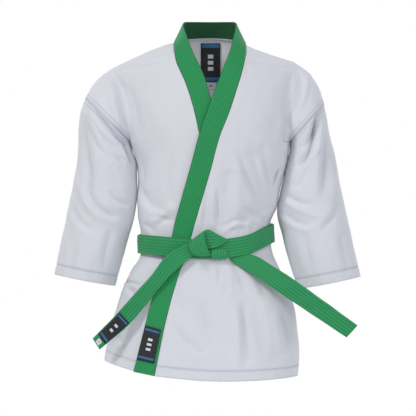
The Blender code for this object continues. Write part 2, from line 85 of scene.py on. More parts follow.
# %% [markdown]
# The key lamp stands high on the left, a weaker one in front fills the form, and two behind draw
# the edges. The background is white to the camera and dimmer and cooler to the cloth.

# %% Soft studio light
def lamp(name, place, target, size, watts, colour=(1, 1, 1)):
    """A square soft lamp that looks at a point"""
    light = bpy.data.lights.new(name, "AREA")
    light.size = size
    light.energy = watts
    light.color = colour
    made = bpy.data.objects.new(name, light)
    made.location = place
    made.rotation_euler = (Vector(target) - Vector(place)).to_track_quat("-Z", "Y").to_euler()
    bpy.context.scene.collection.objects.link(made)


CHEST = (0, 0, -0.35)
lamp("key", (-2.4, -2.4, 2.0), CHEST, 0.8, 52, (1.0, 0.985, 0.97))
lamp("front", (0.7, -4.2, 1.2), CHEST, 1.4, 46, (0.97, 0.98, 1.0))
lamp("fill", (2.6, -1.8, 0.4), CHEST, 1.6, 12, (0.93, 0.96, 1.0))
lamp("rim_left", (-1.8, 1.6, 0.8), CHEST, 1.4, 20)
lamp("rim_right", (1.8, 1.6, 0.8), CHEST, 1.4, 20)
world = bpy.data.worlds.new("studio")
world.use_nodes = True
backdrop = world.node_tree.nodes["Background"]
backdrop.inputs["Color"].default_value = (0.93, 0.96, 1, 1)
backdrop.inputs["Strength"].default_value = 0.36
bright = world.node_tree.nodes.new("ShaderNodeBackground")
bright.inputs["Color"].default_value = (1, 1, 1, 1)
bright.inputs["Strength"].default_value = 1.0
seen = world.node_tree.nodes.new("ShaderNodeLightPath")
chosen = world.node_tree.nodes.new("ShaderNodeMixShader")
world.node_tree.links.new(seen.outputs["Is Camera Ray"], chosen.inputs[0])
world.node_tree.links.new(backdrop.outputs[0], chosen.inputs[1])
world.node_tree.links.new(bright.outputs[0], chosen.inputs[2])
world.node_tree.links.new(chosen.outputs[0], world.node_tree.nodes["World Output"].inputs["Surface"])
bpy.context.scene.world = world
bpy.context.scene.view_settings.view_transform = "Standard"
print("5 lamps and an even pale background")

# %% [markdown]
# Sizes come as short tables in millimetres with named columns, a row for each section. A smooth
# curve through the rows gives every value between them, for a whole grid of points at once.

# %% Tables and how they are read
def table(columns, *rows):
    """A table in millimetres, one named column each, kept in metres"""
    values = np.array(rows, float) * MM
    return {name: values[:, i] for i, name in enumerate(columns.split())}


def read(data, key, value, column):
    """A column of a table at places along its key, on a smooth curve through the rows"""
    keys = data[key]
    values = data[column]
    slopes = np.gradient(values, keys)
    value = np.asarray(value, float)
    i = np.clip(np.searchsorted(keys, value) - 1, 0, len(keys) - 2)
    span = keys[i + 1] - keys[i]
    t = np.clip((value - keys[i]) / span, 0, 1)
    start = values[i] * (1 + 2 * t) * (1 - t) ** 2 + values[i + 1] * t * t * (3 - 2 * t)
    return start + span * (slopes[i] * t * (1 - t) ** 2 - slopes[i + 1] * t * t * (1 - t))


def station(data, place):
    """Whole rows of a table at places from 0 to 1 along its rows"""
    rows = np.linspace(0, 1, len(next(iter(data.values()))))
    return {name: read({"row": rows, name: data[name]}, "row", place, name) for name in data}


def ease(low, high, value):
    t = np.clip((value - low) / (high - low), 0, 1)
    return t * t * (3 - 2 * t)


def mix(a, b, t):
    return a + (b - a) * t


def superellipse(q, power):
    return np.maximum(0.0, 1 - np.abs(q) ** power) ** (1 / power)


# %% [markdown]
# Walls, gaps and levels are those of the solids, and so are the tables of the body, the shoulders,
# the hem, the belt, the lapels and the broad folds.

# %% Cloth, sewing and levels
WALL = 1.8 * MM
BAND_WALL = 3.0 * MM
BELT_WALL = 3.2 * MM
LABEL_WALL = 0.8 * MM
SEAM_GAP = 0.3 * MM
LAPEL_GAP = 1.3 * MM
NECK_SEAM_GAP = 0.8 * MM
UNDER_LAYER = 7.5 * MM
UNDER_RAMP = 60 * MM
UNDER_FULL_Z = -110 * MM
UNDER_NONE_Z = -40 * MM
ARMPIT_Z = -220.5 * MM
VENT_TOP_Z = -560 * MM
VENT_GAP = 5 * MM
VENT_REACH = 150 * MM
NECK_HALF = 80 * MM
NECK_BACK_Y = 75 * MM
NECK_BACK_Z = 19 * MM
STAND_START_Z = -90 * MM
STAND_FULL_Z = -5 * MM
ROUNDNESS = 2.4
SHOULDER_ROUNDNESS = 2.2
BELT_WIDTH = 40 * MM
BELT_CLEARANCE = 2.6 * MM
CINCH = 0.035
CINCH_FLAT = 23 * MM
CINCH_REACH = 62 * MM
ARM_DEPTH = 62 * MM
ARM_FADE = 150 * MM
ARM_BLEND = 10 * MM
EVEN_FROM_RISE = 0.3

BODY = table(
    "z left right front back",
    (-760, -238, 195, 129, 120),
    (-706, -236, 200, 130, 122),
    (-643, -223, 195, 128, 120),
    (-585, -207, 187, 125, 117),
    (-538, -190, 168, 120, 112),
    (-503, -173, 154, 115, 107),
    (-482, -162, 144, 111, 103),
    (-440, -160, 142, 111, 103),
    (-400, -160, 141, 111, 103),
    (-365, -162, 150, 117, 108),
    (-328, -162, 157, 121, 111),
    (-272, -163, 171, 124, 113),
    (-220.5, -180, 180, 124, 114),
)
SHOULDER = table(
    "x z",
    (-280, -122), (-265, -94), (-254, -81), (-238, -67), (-218, -54), (-189, -40), (-160, -27),
    (-130, -13.5), (-99, -2), (-80, 2), (0, 19), (80, -2), (101, -12), (144, -27), (187, -40),
    (209, -54), (225, -67), (234, -81), (243, -94), (249, -108), (256.5, -135),
)
CHEST_SIDE = table("rise left right", (0, -180, 180), (400, -196, 187), (1000, -226, 202))
HEM = table(
    "x front back",
    (-238, -709, -712),
    (-174, -728, -728),
    (-125, -737, -736),
    (-88, -741, -742),
    (0, -748, -748),
    (97, -748, -748),
    (195, -744, -744),
)
BELT_LINE = table(
    "x front back",
    (-160, -449, -449),
    (-90, -454, -446),
    (-45, -458, -444),
    (40, -457, -437),
    (85, -449, -432),
    (140, -424, -425),
)
OVER_LAPEL = table(
    "seam_x seam_z free_x free_z free_y",
    (-124, -737, -168, -729, 0),
    (-92, -588, -129, -577, 0),
    (-39.5, -417, -79, -408, 0),
    (0, -286, -41.5, -277, 0),
    (22, -207, -19.5, -198, 0),
    (39, -165, -5, -156, 0),
    (57, -111, 14, -106, 0),
    (73, -57, 36, -48, -90),
    (79, -25, 50, -10, -54),
    (80, -2, 57, 24, -18),
)
UNDER_LAPEL = table(
    "seam_x seam_z free_x free_z free_y",
    (125, -745, 166, -736, 0),
    (82, -588, 124, -579, 0),
    (35, -417, 77, -408, 0),
    (-1.5, -286, 41, -277, 0),
    (-25.5, -198, 17, -189, 0),
    (-39.5, -143, 2.5, -137, 0),
    (-57.7, -89, -16, -77, 0),
    (-74, -45, -36, -34, -84),
    (-79, -18, -50, 0, -50),
    (-80, 2, -58, 26, -18),
)
BACK_COLLAR = table(
    "free_x free_y free_z",
    (-60, 8, 41),
    (-57, 32, 50),
    (-42, 49, 52),
    (0, 54, 52),
    (42, 49, 52),
    (56, 32, 50),
    (59, 8, 40),
)
FOLDS = table(
    "face x1 z1 x2 z2 width depth",
    (-1000, 42, -300, 30, -415, 16, 5),
    (-1000, 62, -290, 60, -400, 14, -4),
    (-1000, 100, -260, 128, -370, 26, 7),
    (-1000, 70, -395, 118, -372, 16, 5),
    (-1000, -140, -345, -100, -395, 16, 5),
    (-1000, -128, -395, -92, -372, 14, -5),
    (-1000, 60, -545, 150, -690, 30, 6),
    (-1000, -60, -590, 70, -700, 26, 4),
    (-1000, -175, -560, -205, -690, 22, 7),
    (1000, -60, -250, -30, -400, 26, 7),
    (1000, 60, -260, 34, -405, 26, 7),
    (1000, -90, -520, -130, -700, 34, 7),
    (1000, 80, -510, 120, -700, 34, 7),
)
FOLD_DEPTH_MIN = 40 * MM
FOLD_SHARPNESS = 1.4

# %% [markdown]
# The body is a rounded section at every height below the armpits. Above them the chest closes
# up to the line of the shoulders, and the sleeves' roundness runs a little way into it. The belt
# draws the waist in, and the broad folds, which the solids have too, press the cloth in.

# %% The form of the body
def body_axis(z):
    """Middle and half width of the body, seen from the front, at a height"""
    z = np.minimum(z, ARMPIT_Z)
    left = read(BODY, "z", z, "left")
    right = read(BODY, "z", z, "right")
    return (left + right) / 2, (right - left) / 2


def shoulder_z(x):
    """Height of the shoulder line, or over the neck of the back neckline"""
    side = read(SHOULDER, "x", np.copysign(NECK_HALF, x), "z")
    arch = np.sqrt(np.maximum(0.0, 1 - (x / NECK_HALF) ** 2))
    outer = np.interp(x, SHOULDER["x"], SHOULDER["z"])
    return np.where(np.abs(x) < NECK_HALF, mix(side, NECK_BACK_Z, arch), outer)


def neckline_y(x):
    return NECK_BACK_Y * np.sqrt(np.maximum(0.0, 1 - (x / NECK_HALF) ** 2))


def body_depth(x, z, face):
    """Depth of the chest or back in front of or behind the side seams"""
    middle, half = body_axis(z)
    low = read(BODY, "z", z, face) * superellipse(np.clip((x - middle) / half, -1, 1), ROUNDNESS)
    rise = np.clip((z - ARMPIT_Z) / (shoulder_z(x) - ARMPIT_Z), 0, 1)
    left = read(CHEST_SIDE, "rise", rise, "left")
    right = read(CHEST_SIDE, "rise", rise, "right")
    across = np.clip((2 * x - left - right) / (right - left), -1, 1)
    full = read(BODY, "z", ARMPIT_Z, face) * superellipse(across, ROUNDNESS)
    top = neckline_y(x) if face == "back" else 0.0
    high = top + (full - top) * superellipse(rise, SHOULDER_ROUNDNESS)
    return np.where(z <= ARMPIT_Z, low, high)


def fold_depth(x, z, face):
    """How far the broad folds press the cloth in at points of a face"""
    total = 0.0
    side = -1 if face == "front" else 1
    for i in range(len(FOLDS["x1"])):
        if FOLDS["face"][i] != side:
            continue
        run_x = FOLDS["x2"][i] - FOLDS["x1"][i]
        run_z = FOLDS["z2"][i] - FOLDS["z1"][i]
        off_x = x - FOLDS["x1"][i]
        off_z = z - FOLDS["z1"][i]
        t = np.clip((off_x * run_x + off_z * run_z) / (run_x ** 2 + run_z ** 2), 0, 1)
        off = np.hypot(off_x - run_x * t, off_z - run_z * t) / FOLDS["width"][i]
        total = total + FOLDS["depth"][i] * np.exp(-off * off * FOLD_SHARPNESS)
    return total


def belt_pull(x, z, face):
    """How strongly the belt draws the cloth in, from 0 to 1"""
    return 1 - ease(CINCH_FLAT, CINCH_REACH, np.abs(z - read(BELT_LINE, "x", x, face)))


def body_point(x, z, face, arm=0.0, sink=0.0):
    """Points of the jacket's body, seen from the front at x, z"""
    x, z, arm, sink = np.broadcast_arrays(x, z, arm, sink)
    depth = body_depth(x, z, face)
    gap = np.abs(depth - arm)
    near = (arm > 0) & (gap < ARM_BLEND)
    depth = np.maximum(depth, arm)
    depth = depth + near * (ARM_BLEND - gap) ** 2 / (4 * ARM_BLEND) * np.minimum(1.0, arm / ARM_BLEND)
    pull = belt_pull(x, z, face)
    depth = depth - fold_depth(x, z, face) * (1 - pull) * np.minimum(1.0, depth / FOLD_DEPTH_MIN)
    side = -1 if face == "front" else 1
    middle, _half = body_axis(z)
    scale = 1 - CINCH * pull
    across = (x - middle) * scale
    out = side * np.maximum(depth, 0.0) * scale
    reach = np.hypot(across, out)
    scale = 1 - sink / np.maximum(np.maximum(reach, sink * 4), 1e-6)
    return np.stack([middle + across * scale, out * scale, z], axis=-1)


print("chest depth at the armpits", np.round(body_depth(0.0, ARMPIT_Z, "front"), 3))

# %% [markdown]
# Creases are what make a form read as cloth. Each one is a bent line of three points with a
# width and a depth: a valley with a softer ridge beside it, fading out at both ends. They are
# placed where the cloth is pulled: at the armholes, over the shoulders, around the belt and down
# the skirt. A faint rippling keeps the stretches between them from being flat.

# %% Creases
CREASE_COLUMNS = "x1 z1 x2 z2 x3 z3 width depth"
FRONT_CREASES = table(
    CREASE_COLUMNS,
    (84, -46, 138, -50, 196, -61, 6, 2.6),
    (-82, -44, -140, -50, -208, -61, 6, 2.6),
    (-222, -74, -200, -130, -180, -216, 10, 6),
    (-236, -90, -214, -150, -190, -206, 7, -2.6),
    (-190, -92, -172, -150, -158, -212, 9, 2.2),
    (204, -64, 196, -110, 182, -166, 8, 5.5),
    (218, -80, 212, -115, 198, -154, 7, -3),
    (180, -150, 172, -190, 168, -232, 10, 4),
    (112, -228, 126, -280, 133, -336, 10, 2.4),
    (61, -240, 86, -306, 114, -362, 9, 3.4),
    (104, -262, 120, -300, 128, -352, 7, -2),
    (-9, -326, -11, -370, -15, -418, 5, 3),
    (6, -318, 5, -368, 3, -418, 5, -2.4),
    (19, -322, 18, -368, 20, -416, 6, 3.4),
    (34, -340, 38, -380, 40, -414, 6, -2),
    (22, -416, 58, -396, 84, -402, 6, 2.2),
    (30, -424, 64, -404, 92, -414, 6, -1.5),
    (-121, -412, -108, -396, -84, -398, 6, 2),
    (-150, -402, -140, -412, -126, -425, 6, 1.9),
    (-140, -384, -122, -380, -96, -388, 6, -2.4),
    (98, -380, 118, -392, 134, -404, 6, 2),
    (70, -370, 92, -380, 110, -400, 7, 2.2),
    (-160, -300, -148, -340, -126, -372, 9, 3),
    (-158, -240, -150, -280, -150, -320, 10, 2.4),
    (-88, -250, -96, -310, -84, -366, 12, 2),
    (-22, -484, -10, -498, 8, -504, 7, 4.5),
    (14, -486, 20, -510, 19, -538, 5, 3.4),
    (30, -486, 44, -520, 50, -556, 8, -2.6),
    (46, -484, 66, -520, 78, -560, 7, 2.8),
    (76, -474, 104, -520, 122, -570, 9, 3),
    (72, -566, 79, -640, 84, -720, 12, 4.5),
    (60, -590, 62, -650, 62, -720, 9, -2.4),
    (112, -560, 128, -630, 132, -700, 14, -2.6),
    (156, -594, 172, -640, 176, -694, 14, 5),
    (-86, -618, -46, -664, -2, -692, 12, 3),
    (-20, -560, -10, -620, 6, -680, 16, 2.6),
    (-60, -500, -72, -540, -74, -590, 9, 3),
    (-196, -532, -178, -534, -156, -540, 4.5, 4),
    (-186, -546, -172, -560, -160, -590, 7, 3),
    (-212, -640, -204, -658, -194, -678, 9, 4),
    (-142, -560, -158, -610, -166, -660, 11, 2.6),
)
BACK_CREASES = table(
    CREASE_COLUMNS,
    (84, -46, 140, -54, 204, -66, 6, 2.6),
    (-84, -44, -144, -52, -214, -66, 6, 2.6),
    (-224, -84, -204, -140, -182, -214, 10, 5.5),
    (-200, -96, -180, -150, -166, -216, 9, 2.6),
    (206, -74, 196, -130, 178, -214, 10, 5.5),
    (186, -96, 172, -150, 160, -220, 9, 2.6),
    (-110, -120, -60, -140, 0, -144, 12, 2.4),
    (110, -128, 60, -150, 6, -150, 12, 2.4),
    (-150, -250, -120, -310, -100, -384, 10, 3.6),
    (-110, -300, -86, -350, -70, -404, 8, -2.4),
    (140, -250, 112, -310, 92, -380, 10, 3.6),
    (100, -310, 74, -350, 60, -396, 8, -2.4),
    (-20, -300, -14, -350, -12, -404, 8, 3),
    (8, -310, 12, -350, 14, -400, 7, -2),
    (26, -330, 30, -370, 34, -400, 6, 2.6),
    (-130, -396, -104, -382, -80, -400, 5, 3.4),
    (64, -392, 88, -376, 112, -386, 5, 3.4),
    (-60, -484, -74, -530, -80, -590, 9, 3.2),
    (-30, -482, -34, -520, -30, -560, 7, 2.6),
    (20, -476, 26, -520, 26, -570, 8, 3),
    (56, -474, 72, -520, 84, -580, 9, 3.2),
    (98, -470, 116, -520, 128, -590, 10, 3),
    (-110, -480, -134, -530, -150, -600, 10, 3.2),
    (-90, -600, -100, -660, -104, -726, 14, 4),
    (-20, -590, -16, -650, -12, -730, 15, 3.4),
    (66, -590, 76, -650, 84, -730, 14, 4),
    (140, -600, 156, -650, 160, -726, 14, 4),
    (-170, -590, -190, -650, -196, -710, 14, 4),
)
RIGHT_SLEEVE_CREASES = table(
    CREASE_COLUMNS,
    (-262, -140, -226, -196, -180, -232, 7, 5),
    (-246, -164, -211, -204, -178, -236, 4, 5),
    (-192, -226, -182, -245, -172, -268, 6, 9),
    (-276, -150, -240, -222, -190, -256, 8, -3),
    (-250, -198, -220, -240, -186, -272, 7, 4),
    (-285, -170, -270, -270, -262, -332, 10, 4.4),
    (-274, -300, -252, -362, -198, -390, 9, 4.6),
    (-296, -296, -276, -360, -230, -404, 9, -2.6),
    (-224, -330, -206, -352, -178, -364, 7, 3.2),
    (-310, -350, -290, -396, -250, -420, 9, 3),
    (-216, -412, -230, -460, -236, -512, 11, 2.6),
    (-300, -430, -304, -480, -312, -530, 12, 2.4),
    (-262, -440, -270, -490, -280, -536, 10, -2),
    (-220, -270, -212, -300, -196, -322, 8, 2.4),
)
LEFT_SLEEVE_CREASES = table(
    CREASE_COLUMNS,
    (244, -142, 232, -196, 200, -244, 8, 6),
    (256, -150, 250, -210, 226, -262, 8, -3),
    (238, -158, 222, -238, 190, -280, 8, 6.5),
    (258, -176, 258, -260, 250, -352, 11, 4.4),
    (272, -220, 278, -290, 276, -350, 10, -2.4),
    (166, -330, 190, -352, 232, -360, 8, 3.6),
    (168, -350, 200, -376, 254, -390, 8, -2.4),
    (158, -372, 194, -400, 226, -404, 8, 3.2),
    (286, -350, 272, -392, 240, -420, 9, 3),
    (206, -420, 218, -470, 222, -520, 11, 2.6),
    (290, -420, 300, -470, 310, -520, 12, 2.4),
    (250, -430, 262, -480, 270, -530, 10, -2),
    (214, -276, 206, -306, 190, -326, 8, 2.6),
)
CREASE_STEPS = 8
VALLEY_POWER = 1.2
RIDGE_SHARE = 0.32
CREASE_GAIN = 1.35
RIDGE_PLACE = 1.6
RIDGE_SHARPNESS = 1.6
RIDGE_LEAN = 0.5
VALLEY_SHARPNESS = 1.4
FADE_POWER = 3
RIPPLE = 0.5 * MM
GATHER = 0.7 * MM
GATHER_REACH = 20 * MM


def crease_depth(x, z, creases):
    """How far the listed creases press the cloth in at points seen from the front or back"""
    total = np.zeros_like(x)
    t = np.linspace(0, 1, CREASE_STEPS + 1)
    for i in range(len(creases["x1"])):
        line = {}
        for way in "xz":
            a, b, c = (creases[way + number][i] for number in "123")
            line[way] = (1 - t) * (1 - 2 * t) * a + 4 * t * (1 - t) * b + t * (2 * t - 1) * c
        best = np.full(x.shape, 9.0)
        along = np.zeros_like(x)
        side = np.zeros_like(x)
        for k in range(CREASE_STEPS):
            run_x = line["x"][k + 1] - line["x"][k]
            run_z = line["z"][k + 1] - line["z"][k]
            off_x = x - line["x"][k]
            off_z = z - line["z"][k]
            share = np.clip((off_x * run_x + off_z * run_z) / (run_x ** 2 + run_z ** 2), 0, 1)
            off = np.hypot(off_x - run_x * share, off_z - run_z * share)
            nearer = off < best
            best = np.where(nearer, off, best)
            along = np.where(nearer, (k + share) / CREASE_STEPS, along)
            side = np.where(nearer, np.sign(off_x * run_z - off_z * run_x), side)
        q = best / creases["width"][i]
        fade = 1 - np.abs(2 * along - 1) ** FADE_POWER
        valley = np.exp(-VALLEY_SHARPNESS * q ** VALLEY_POWER)
        lean = RIDGE_SHARE * (1 + RIDGE_LEAN * side)
        ridge = lean * np.exp(-RIDGE_SHARPNESS * (q - RIDGE_PLACE) ** 2)
        total += CREASE_GAIN * creases["depth"][i] * fade * (valley - ridge)
    return total


def ripple(x, z):
    """Faint uneven rippling of cloth that hangs free"""
    wide = np.sin(x * 62 + 2.1 * np.sin(z * 23)) * np.sin(z * 31 + 1.3)
    fine = 0.5 * np.sin(x * 171 + 1.7 * np.sin(z * 41 + 1)) * np.sin(z * 57 + 2 * np.sin(x * 37))
    return RIPPLE * (wide + fine)


def gathers(x, z, face):
    """Short tucks that the belt makes in the cloth above and below it"""
    away = np.abs(z - read(BELT_LINE, "x", x, face)) - BELT_WIDTH / 2
    tucks = np.sin(x * 260 + 2 * np.sin(x * 47)) + 0.6 * np.sin(x * 431 + 1)
    return GATHER * tucks * np.exp(-(np.maximum(away, 0) / GATHER_REACH) ** 1.5)


print(sum(len(c["x1"]) for c in (FRONT_CREASES, BACK_CREASES)), "creases on the body")

# %% [markdown]
# One helper turns a grid of points into cloth. It stores the cloth's own lengths as a UV map in
# metres, so that weave and stitches keep their size on every piece. It also stores marks on the
# points, such as how far each lies from a hem or a seam and how far it is pressed into a fold. The
# materials sew their stitches by these marks and paint shade into the folds by the fold mark. The
# inside of the cloth has a mark of its own, by which the white inside is painted lighter, as painted
# light, and the inside of the band darker, as painted shade.

# %% From a grid of points to cloth
def lengths(points, axis):
    """Running length along an axis of a grid of points"""
    steps = np.linalg.norm(np.diff(points, axis=axis), axis=-1)
    start = np.zeros_like(np.take(steps, [0], axis=axis))
    return np.concatenate([start, np.cumsum(steps, axis=axis)], axis=axis)


def grid_normals(points, ring=False):
    """Unit normals of a grid of points"""
    if ring:
        wrapped = np.concatenate([points[:, -1:], points, points[:, :1]], axis=1)
        across = np.gradient(wrapped, axis=1)[:, 1:-1]
    else:
        across = np.gradient(points, axis=1)
    along = np.gradient(points, axis=0)
    normals = np.cross(across, along)
    size = np.linalg.norm(normals, axis=-1, keepdims=True)
    return normals / np.maximum(size, 1e-12)


def outward_normals(points, middle, ring=False):
    """Unit normals that point away from a middle line, given as points or one point"""
    normals = grid_normals(points, ring)
    facing = np.sum(normals * (points - middle))
    return normals if facing > 0 else -normals


def apply(piece, kind, name, **settings):
    """Adds a modifier and applies it"""
    modifier = piece.modifiers.new(name, kind)
    for key, value in settings.items():
        setattr(modifier, key, value)
    bpy.context.view_layer.objects.active = piece
    bpy.ops.object.modifier_apply(modifier=name)


def cloth(name, points, normals, wall, offset=-1, ring=False, marks=None, edge=0.0):
    """A sheet of cloth through a grid of points, with a UV map in metres"""
    count, across = points.shape[:2]
    index = np.arange(count * across).reshape(count, across)
    if ring:
        index = np.concatenate([index, index[:, :1]], axis=1)
        points_uv = np.concatenate([points, points[:, :1]], axis=1)
    else:
        points_uv = points
    corners = np.stack([index[:-1, :-1], index[:-1, 1:], index[1:, 1:], index[1:, :-1]], axis=-1)
    uv = np.stack([lengths(points_uv, 1), lengths(points_uv, 0)], axis=-1)
    corner_uv = np.stack([uv[:-1, :-1], uv[:-1, 1:], uv[1:, 1:], uv[1:, :-1]], axis=-2)
    wanted = np.sum(normals[0, 0] * grid_normals(points, ring)[0, 0])
    if wanted < 0:
        corners = corners[..., ::-1]
        corner_uv = corner_uv[..., ::-1, :]
    mesh = bpy.data.meshes.new(name)
    mesh.from_pydata(points.reshape(-1, 3).tolist(), [], corners.reshape(-1, 4).tolist())
    mesh.uv_layers.new(name="cloth").data.foreach_set("uv", corner_uv.reshape(-1).astype(np.float32))
    for mark, values in (marks or {}).items():
        layer = mesh.attributes.new(mark, "FLOAT", "POINT")
        spread = np.broadcast_to(values, (count, across)).reshape(-1)
        layer.data.foreach_set("value", spread.astype(np.float32))
    piece = bpy.data.objects.new(name, mesh)
    bpy.context.scene.collection.objects.link(piece)
    apply(piece, "SOLIDIFY", "wall", thickness=wall, offset=offset, use_even_offset=True)
    inside = np.arange(len(piece.data.vertices)) >= count * across
    layer = piece.data.attributes.new("inside", "FLOAT", "POINT")
    layer.data.foreach_set("value", inside.astype(np.float32))
    if edge > 0:
        apply(piece, "BEVEL", "edge", width=edge, segments=2, limit_method="ANGLE", angle_limit=1.0)
    piece.data.shade_smooth()
    print(name, len(piece.data.polygons), "faces")
    return piece


def sewn_edge(distance, reach=7 * MM):
    """0 at a seam, rising to 1 away from it: folds flatten out where cloth is sewn"""
    return ease(0, reach, distance)


# %% [markdown]
# A front panel is a grid between its side seam and its lapel seam. Its rows follow the hem at
# the bottom, the belt at the waist and the shoulder at the top, and above the armpits they end
# at the armhole. The side seams are left open below the belt as vents.

# %% Rows of the panels
LOW_ROWS = 150
HIGH_ROWS = 78
FRONT_COLUMNS = 84
BACK_COLUMNS = 150
BELT_PLACE = 0.55

RIGHT_SLEEVE = table(
    "outer_x outer_z inner_x inner_z depth middle",
    (-280, -122, -180, -220.5, 62, 0),
    (-291, -153, -172.5, -246, 63, 0),
    (-295, -193, -164, -269, 64, 0),
    (-295, -238, -163, -294, 65, -1),
    (-304, -297, -163, -336, 65, -2),
    (-315, -351, -168.5, -380, 65, -4),
    (-326, -405, -182, -432, 64, -6),
    (-337.5, -459, -197, -488, 63, -8),
    (-348, -517, -212.6, -543, 61, -10),
)
LEFT_SLEEVE = table(
    "outer_x outer_z inner_x inner_z depth middle",
    (256.5, -135, 180, -220.5, 62, 0),
    (263, -171, 178.5, -243, 63, 0),
    (271, -209, 172.5, -269, 64, 0),
    (279, -250, 163.6, -304, 65, -1),
    (288, -297, 155.4, -344, 65, -2),
    (299, -346, 151, -381, 65, -4),
    (311.6, -405, 162.5, -432, 64, -6),
    (324, -463.5, 178, -490.5, 63, -8),
    (338, -522, 197, -550, 61, -10),
)


def level(x, place, face):
    """Height at x of the row at a place from the hem, 0, to the armpits, 1"""
    hem = read(HEM, "x", x, face)
    belt = read(BELT_LINE, "x", x, face)
    low = mix(hem, belt, np.clip(place / BELT_PLACE, 0, 1))
    high = mix(belt, ARMPIT_Z, np.clip((place - BELT_PLACE) / (1 - BELT_PLACE), 0, 1))
    return np.where(place < BELT_PLACE, low, high)


def lapel_x(lapel, z):
    return read(lapel, "seam_z", z, "seam_x")


def arm_at(rise, distance):
    """Depth of the sleeve's roundness, carried a little way into the body"""
    round_arm = np.sqrt(np.maximum(0.0, 1 - (2 * rise - 1) ** 2))
    return ARM_DEPTH * round_arm * (1 - ease(0, ARM_FADE, distance))


def under_depth(z):
    """How far the under front and its lapel lie below the over ones at a height"""
    return UNDER_LAYER * (1 - ease(UNDER_FULL_Z, UNDER_NONE_Z, z))


def even_share(base, rise):
    """Shares of the width for rows above the armpits: close at the sides, then even"""
    close = (base - base[0]) / (base[-1] - base[0])
    return mix(close, np.linspace(0, 1, len(base)), ease(0, EVEN_FROM_RISE, rise))


def panel_grid(face, hand=None):
    """x, z and sleeve roundness of a panel's grid, from the hem up"""
    places = np.linspace(0, 1, LOW_ROWS)[:, None]
    way = {"right": 1, "left": -1, None: 1}[hand]
    count = FRONT_COLUMNS if hand else BACK_COLUMNS
    share = np.linspace(0, 1, count)[None, :]
    lapel = UNDER_LAPEL if hand == "right" else OVER_LAPEL
    x = np.zeros((LOW_ROWS, count))
    for _again in range(5):
        z = level(x, places, face)
        middle, half = body_axis(z)
        reach = math.pi
        if hand:
            seam = lapel_x(lapel, z) - way * LAPEL_GAP
            reach = np.arccos(np.clip(-way * (seam - middle) / half, -1, 1))
        x = middle - way * half * np.cos(reach * share)
    base = x[-1]
    rises = (1 - np.cos(np.linspace(0, math.pi, HIGH_ROWS + 1)[1:, None])) / 2
    top_start = RIGHT_SLEEVE["outer_x"][0] if hand != "left" else LEFT_SLEEVE["outer_x"][0]
    top_stop = -way * (NECK_HALF + LAPEL_GAP) if hand else LEFT_SLEEVE["outer_x"][0]
    share = even_share(base, rises)
    x_top = mix(top_start, top_stop, share)
    high_x = mix(mix(base[0], base[-1], share), x_top, rises)
    high_z = mix(ARMPIT_Z, shoulder_z(x_top), rises)
    start = mix(base[0], top_start, rises)
    stop = mix(base[-1], top_stop, rises)
    if hand:
        seam = lapel_x(lapel, high_z) - way * LAPEL_GAP
        high_x = high_x + (seam - stop) * share ** 3
        arm = arm_at(rises, np.abs(high_x - start))
    else:
        arm = arm_at(rises, np.minimum(np.abs(high_x - start), np.abs(high_x - stop)))
    low_arm = np.zeros_like(x)
    return np.vstack([x, high_x]), np.vstack([z, high_z]), np.vstack([low_arm, arm])


def seam_side(z):
    """How far the side seam's edge lies off the side, opening below the vent's top"""
    return SEAM_GAP / 2 + VENT_GAP * ease(0, 1, (VENT_TOP_Z - z) / VENT_REACH)


# %% Sewing and pressing a panel
HEM_STITCH = 25 * MM
HEM_GROOVE = 0.6 * MM
GROOVE_WIDTH = 3 * MM
HEM_PUCKER = 0.5 * MM
BELT_CALM = 22 * MM
DEEPEST = -5.5 * MM
# The fold mark reaches 1 at this crease depth; the cotton paints shade into its folds by this mark
FOLD_FULL = 6 * MM
FELL_WIDTH = 11 * MM
FELL_HEIGHT = 0.7 * MM


def panel(name, face, hand=None):
    """A front or the back, creased and with its seams and hem marked"""
    x, z, arm = panel_grid(face, hand)
    sink = 0.0
    if hand == "right":
        sink = under_depth(z) * ease(0, UNDER_RAMP, np.abs(x - x[:, :1]))
    points = body_point(x, z, face, arm, sink)
    side = -1 if face == "front" else 1
    out = side * points[..., 1]
    edges = [0] if hand else [0, -1]
    for column in edges:
        low = z[:, column] <= ARMPIT_Z
        keep = np.maximum(out[:, column], np.where(low, seam_side(z[:, column]), 0))
        points[:, column, 1] = side * keep
    near_neck = 1 - ease(NECK_HALF, NECK_HALF * 1.6, np.abs(x[-1]))
    top_gap = np.maximum(side * points[-1, :, 1], SEAM_GAP / 2 + NECK_SEAM_GAP * near_neck)
    points[-1, :, 1] = side * top_gap
    middle, _half = body_axis(z)
    axis = np.stack([middle, np.zeros_like(z), np.minimum(z, ARMPIT_Z)], axis=-1)
    normals = outward_normals(points, axis)
    across = lengths(points, 1)
    up = lengths(points, 0)
    from_side = across if hand else np.minimum(across, across[:, -1:] - across)
    from_lapel = across[:, -1:] - across if hand else np.full_like(across, 1.0)
    from_top = up[-1:] - up
    free = sewn_edge(from_side) * sewn_edge(from_lapel) * sewn_edge(from_top)
    calm = 1 - np.exp(-(np.abs(z - read(BELT_LINE, "x", x, face)) / BELT_CALM) ** 4)
    creases = FRONT_CREASES if face == "front" else BACK_CREASES
    push = -crease_depth(x, z, creases) + ripple(x, z) + gathers(x, z, face)
    push = np.maximum(push * free * calm, DEEPEST)
    within = 1 - ease(FELL_WIDTH, FELL_WIDTH + 3 * MM, from_side)
    fell = FELL_HEIGHT * ease(0, 2 * MM, from_side) * within
    pucker = np.sin(across * 420 + 2 * np.sin(across * 37)) * HEM_PUCKER
    hem = pucker * (1 - ease(14 * MM, 34 * MM, up))
    hem = hem - HEM_GROOVE * np.exp(-((up - HEM_STITCH) / GROOVE_WIDTH) ** 2)
    points = points + normals * (push + fell + hem * free)[..., None]
    marks = {"hem": up, "side": from_side, "fold": np.maximum(-push, 0) / FOLD_FULL}
    return cloth(name, points, normals, WALL, marks=marks)


# %% Fronts and back
front_left = panel("front_left_cloth", "front", "left")
front_right = panel("front_right_cloth", "front", "right")
back = panel("back_cloth", "back")

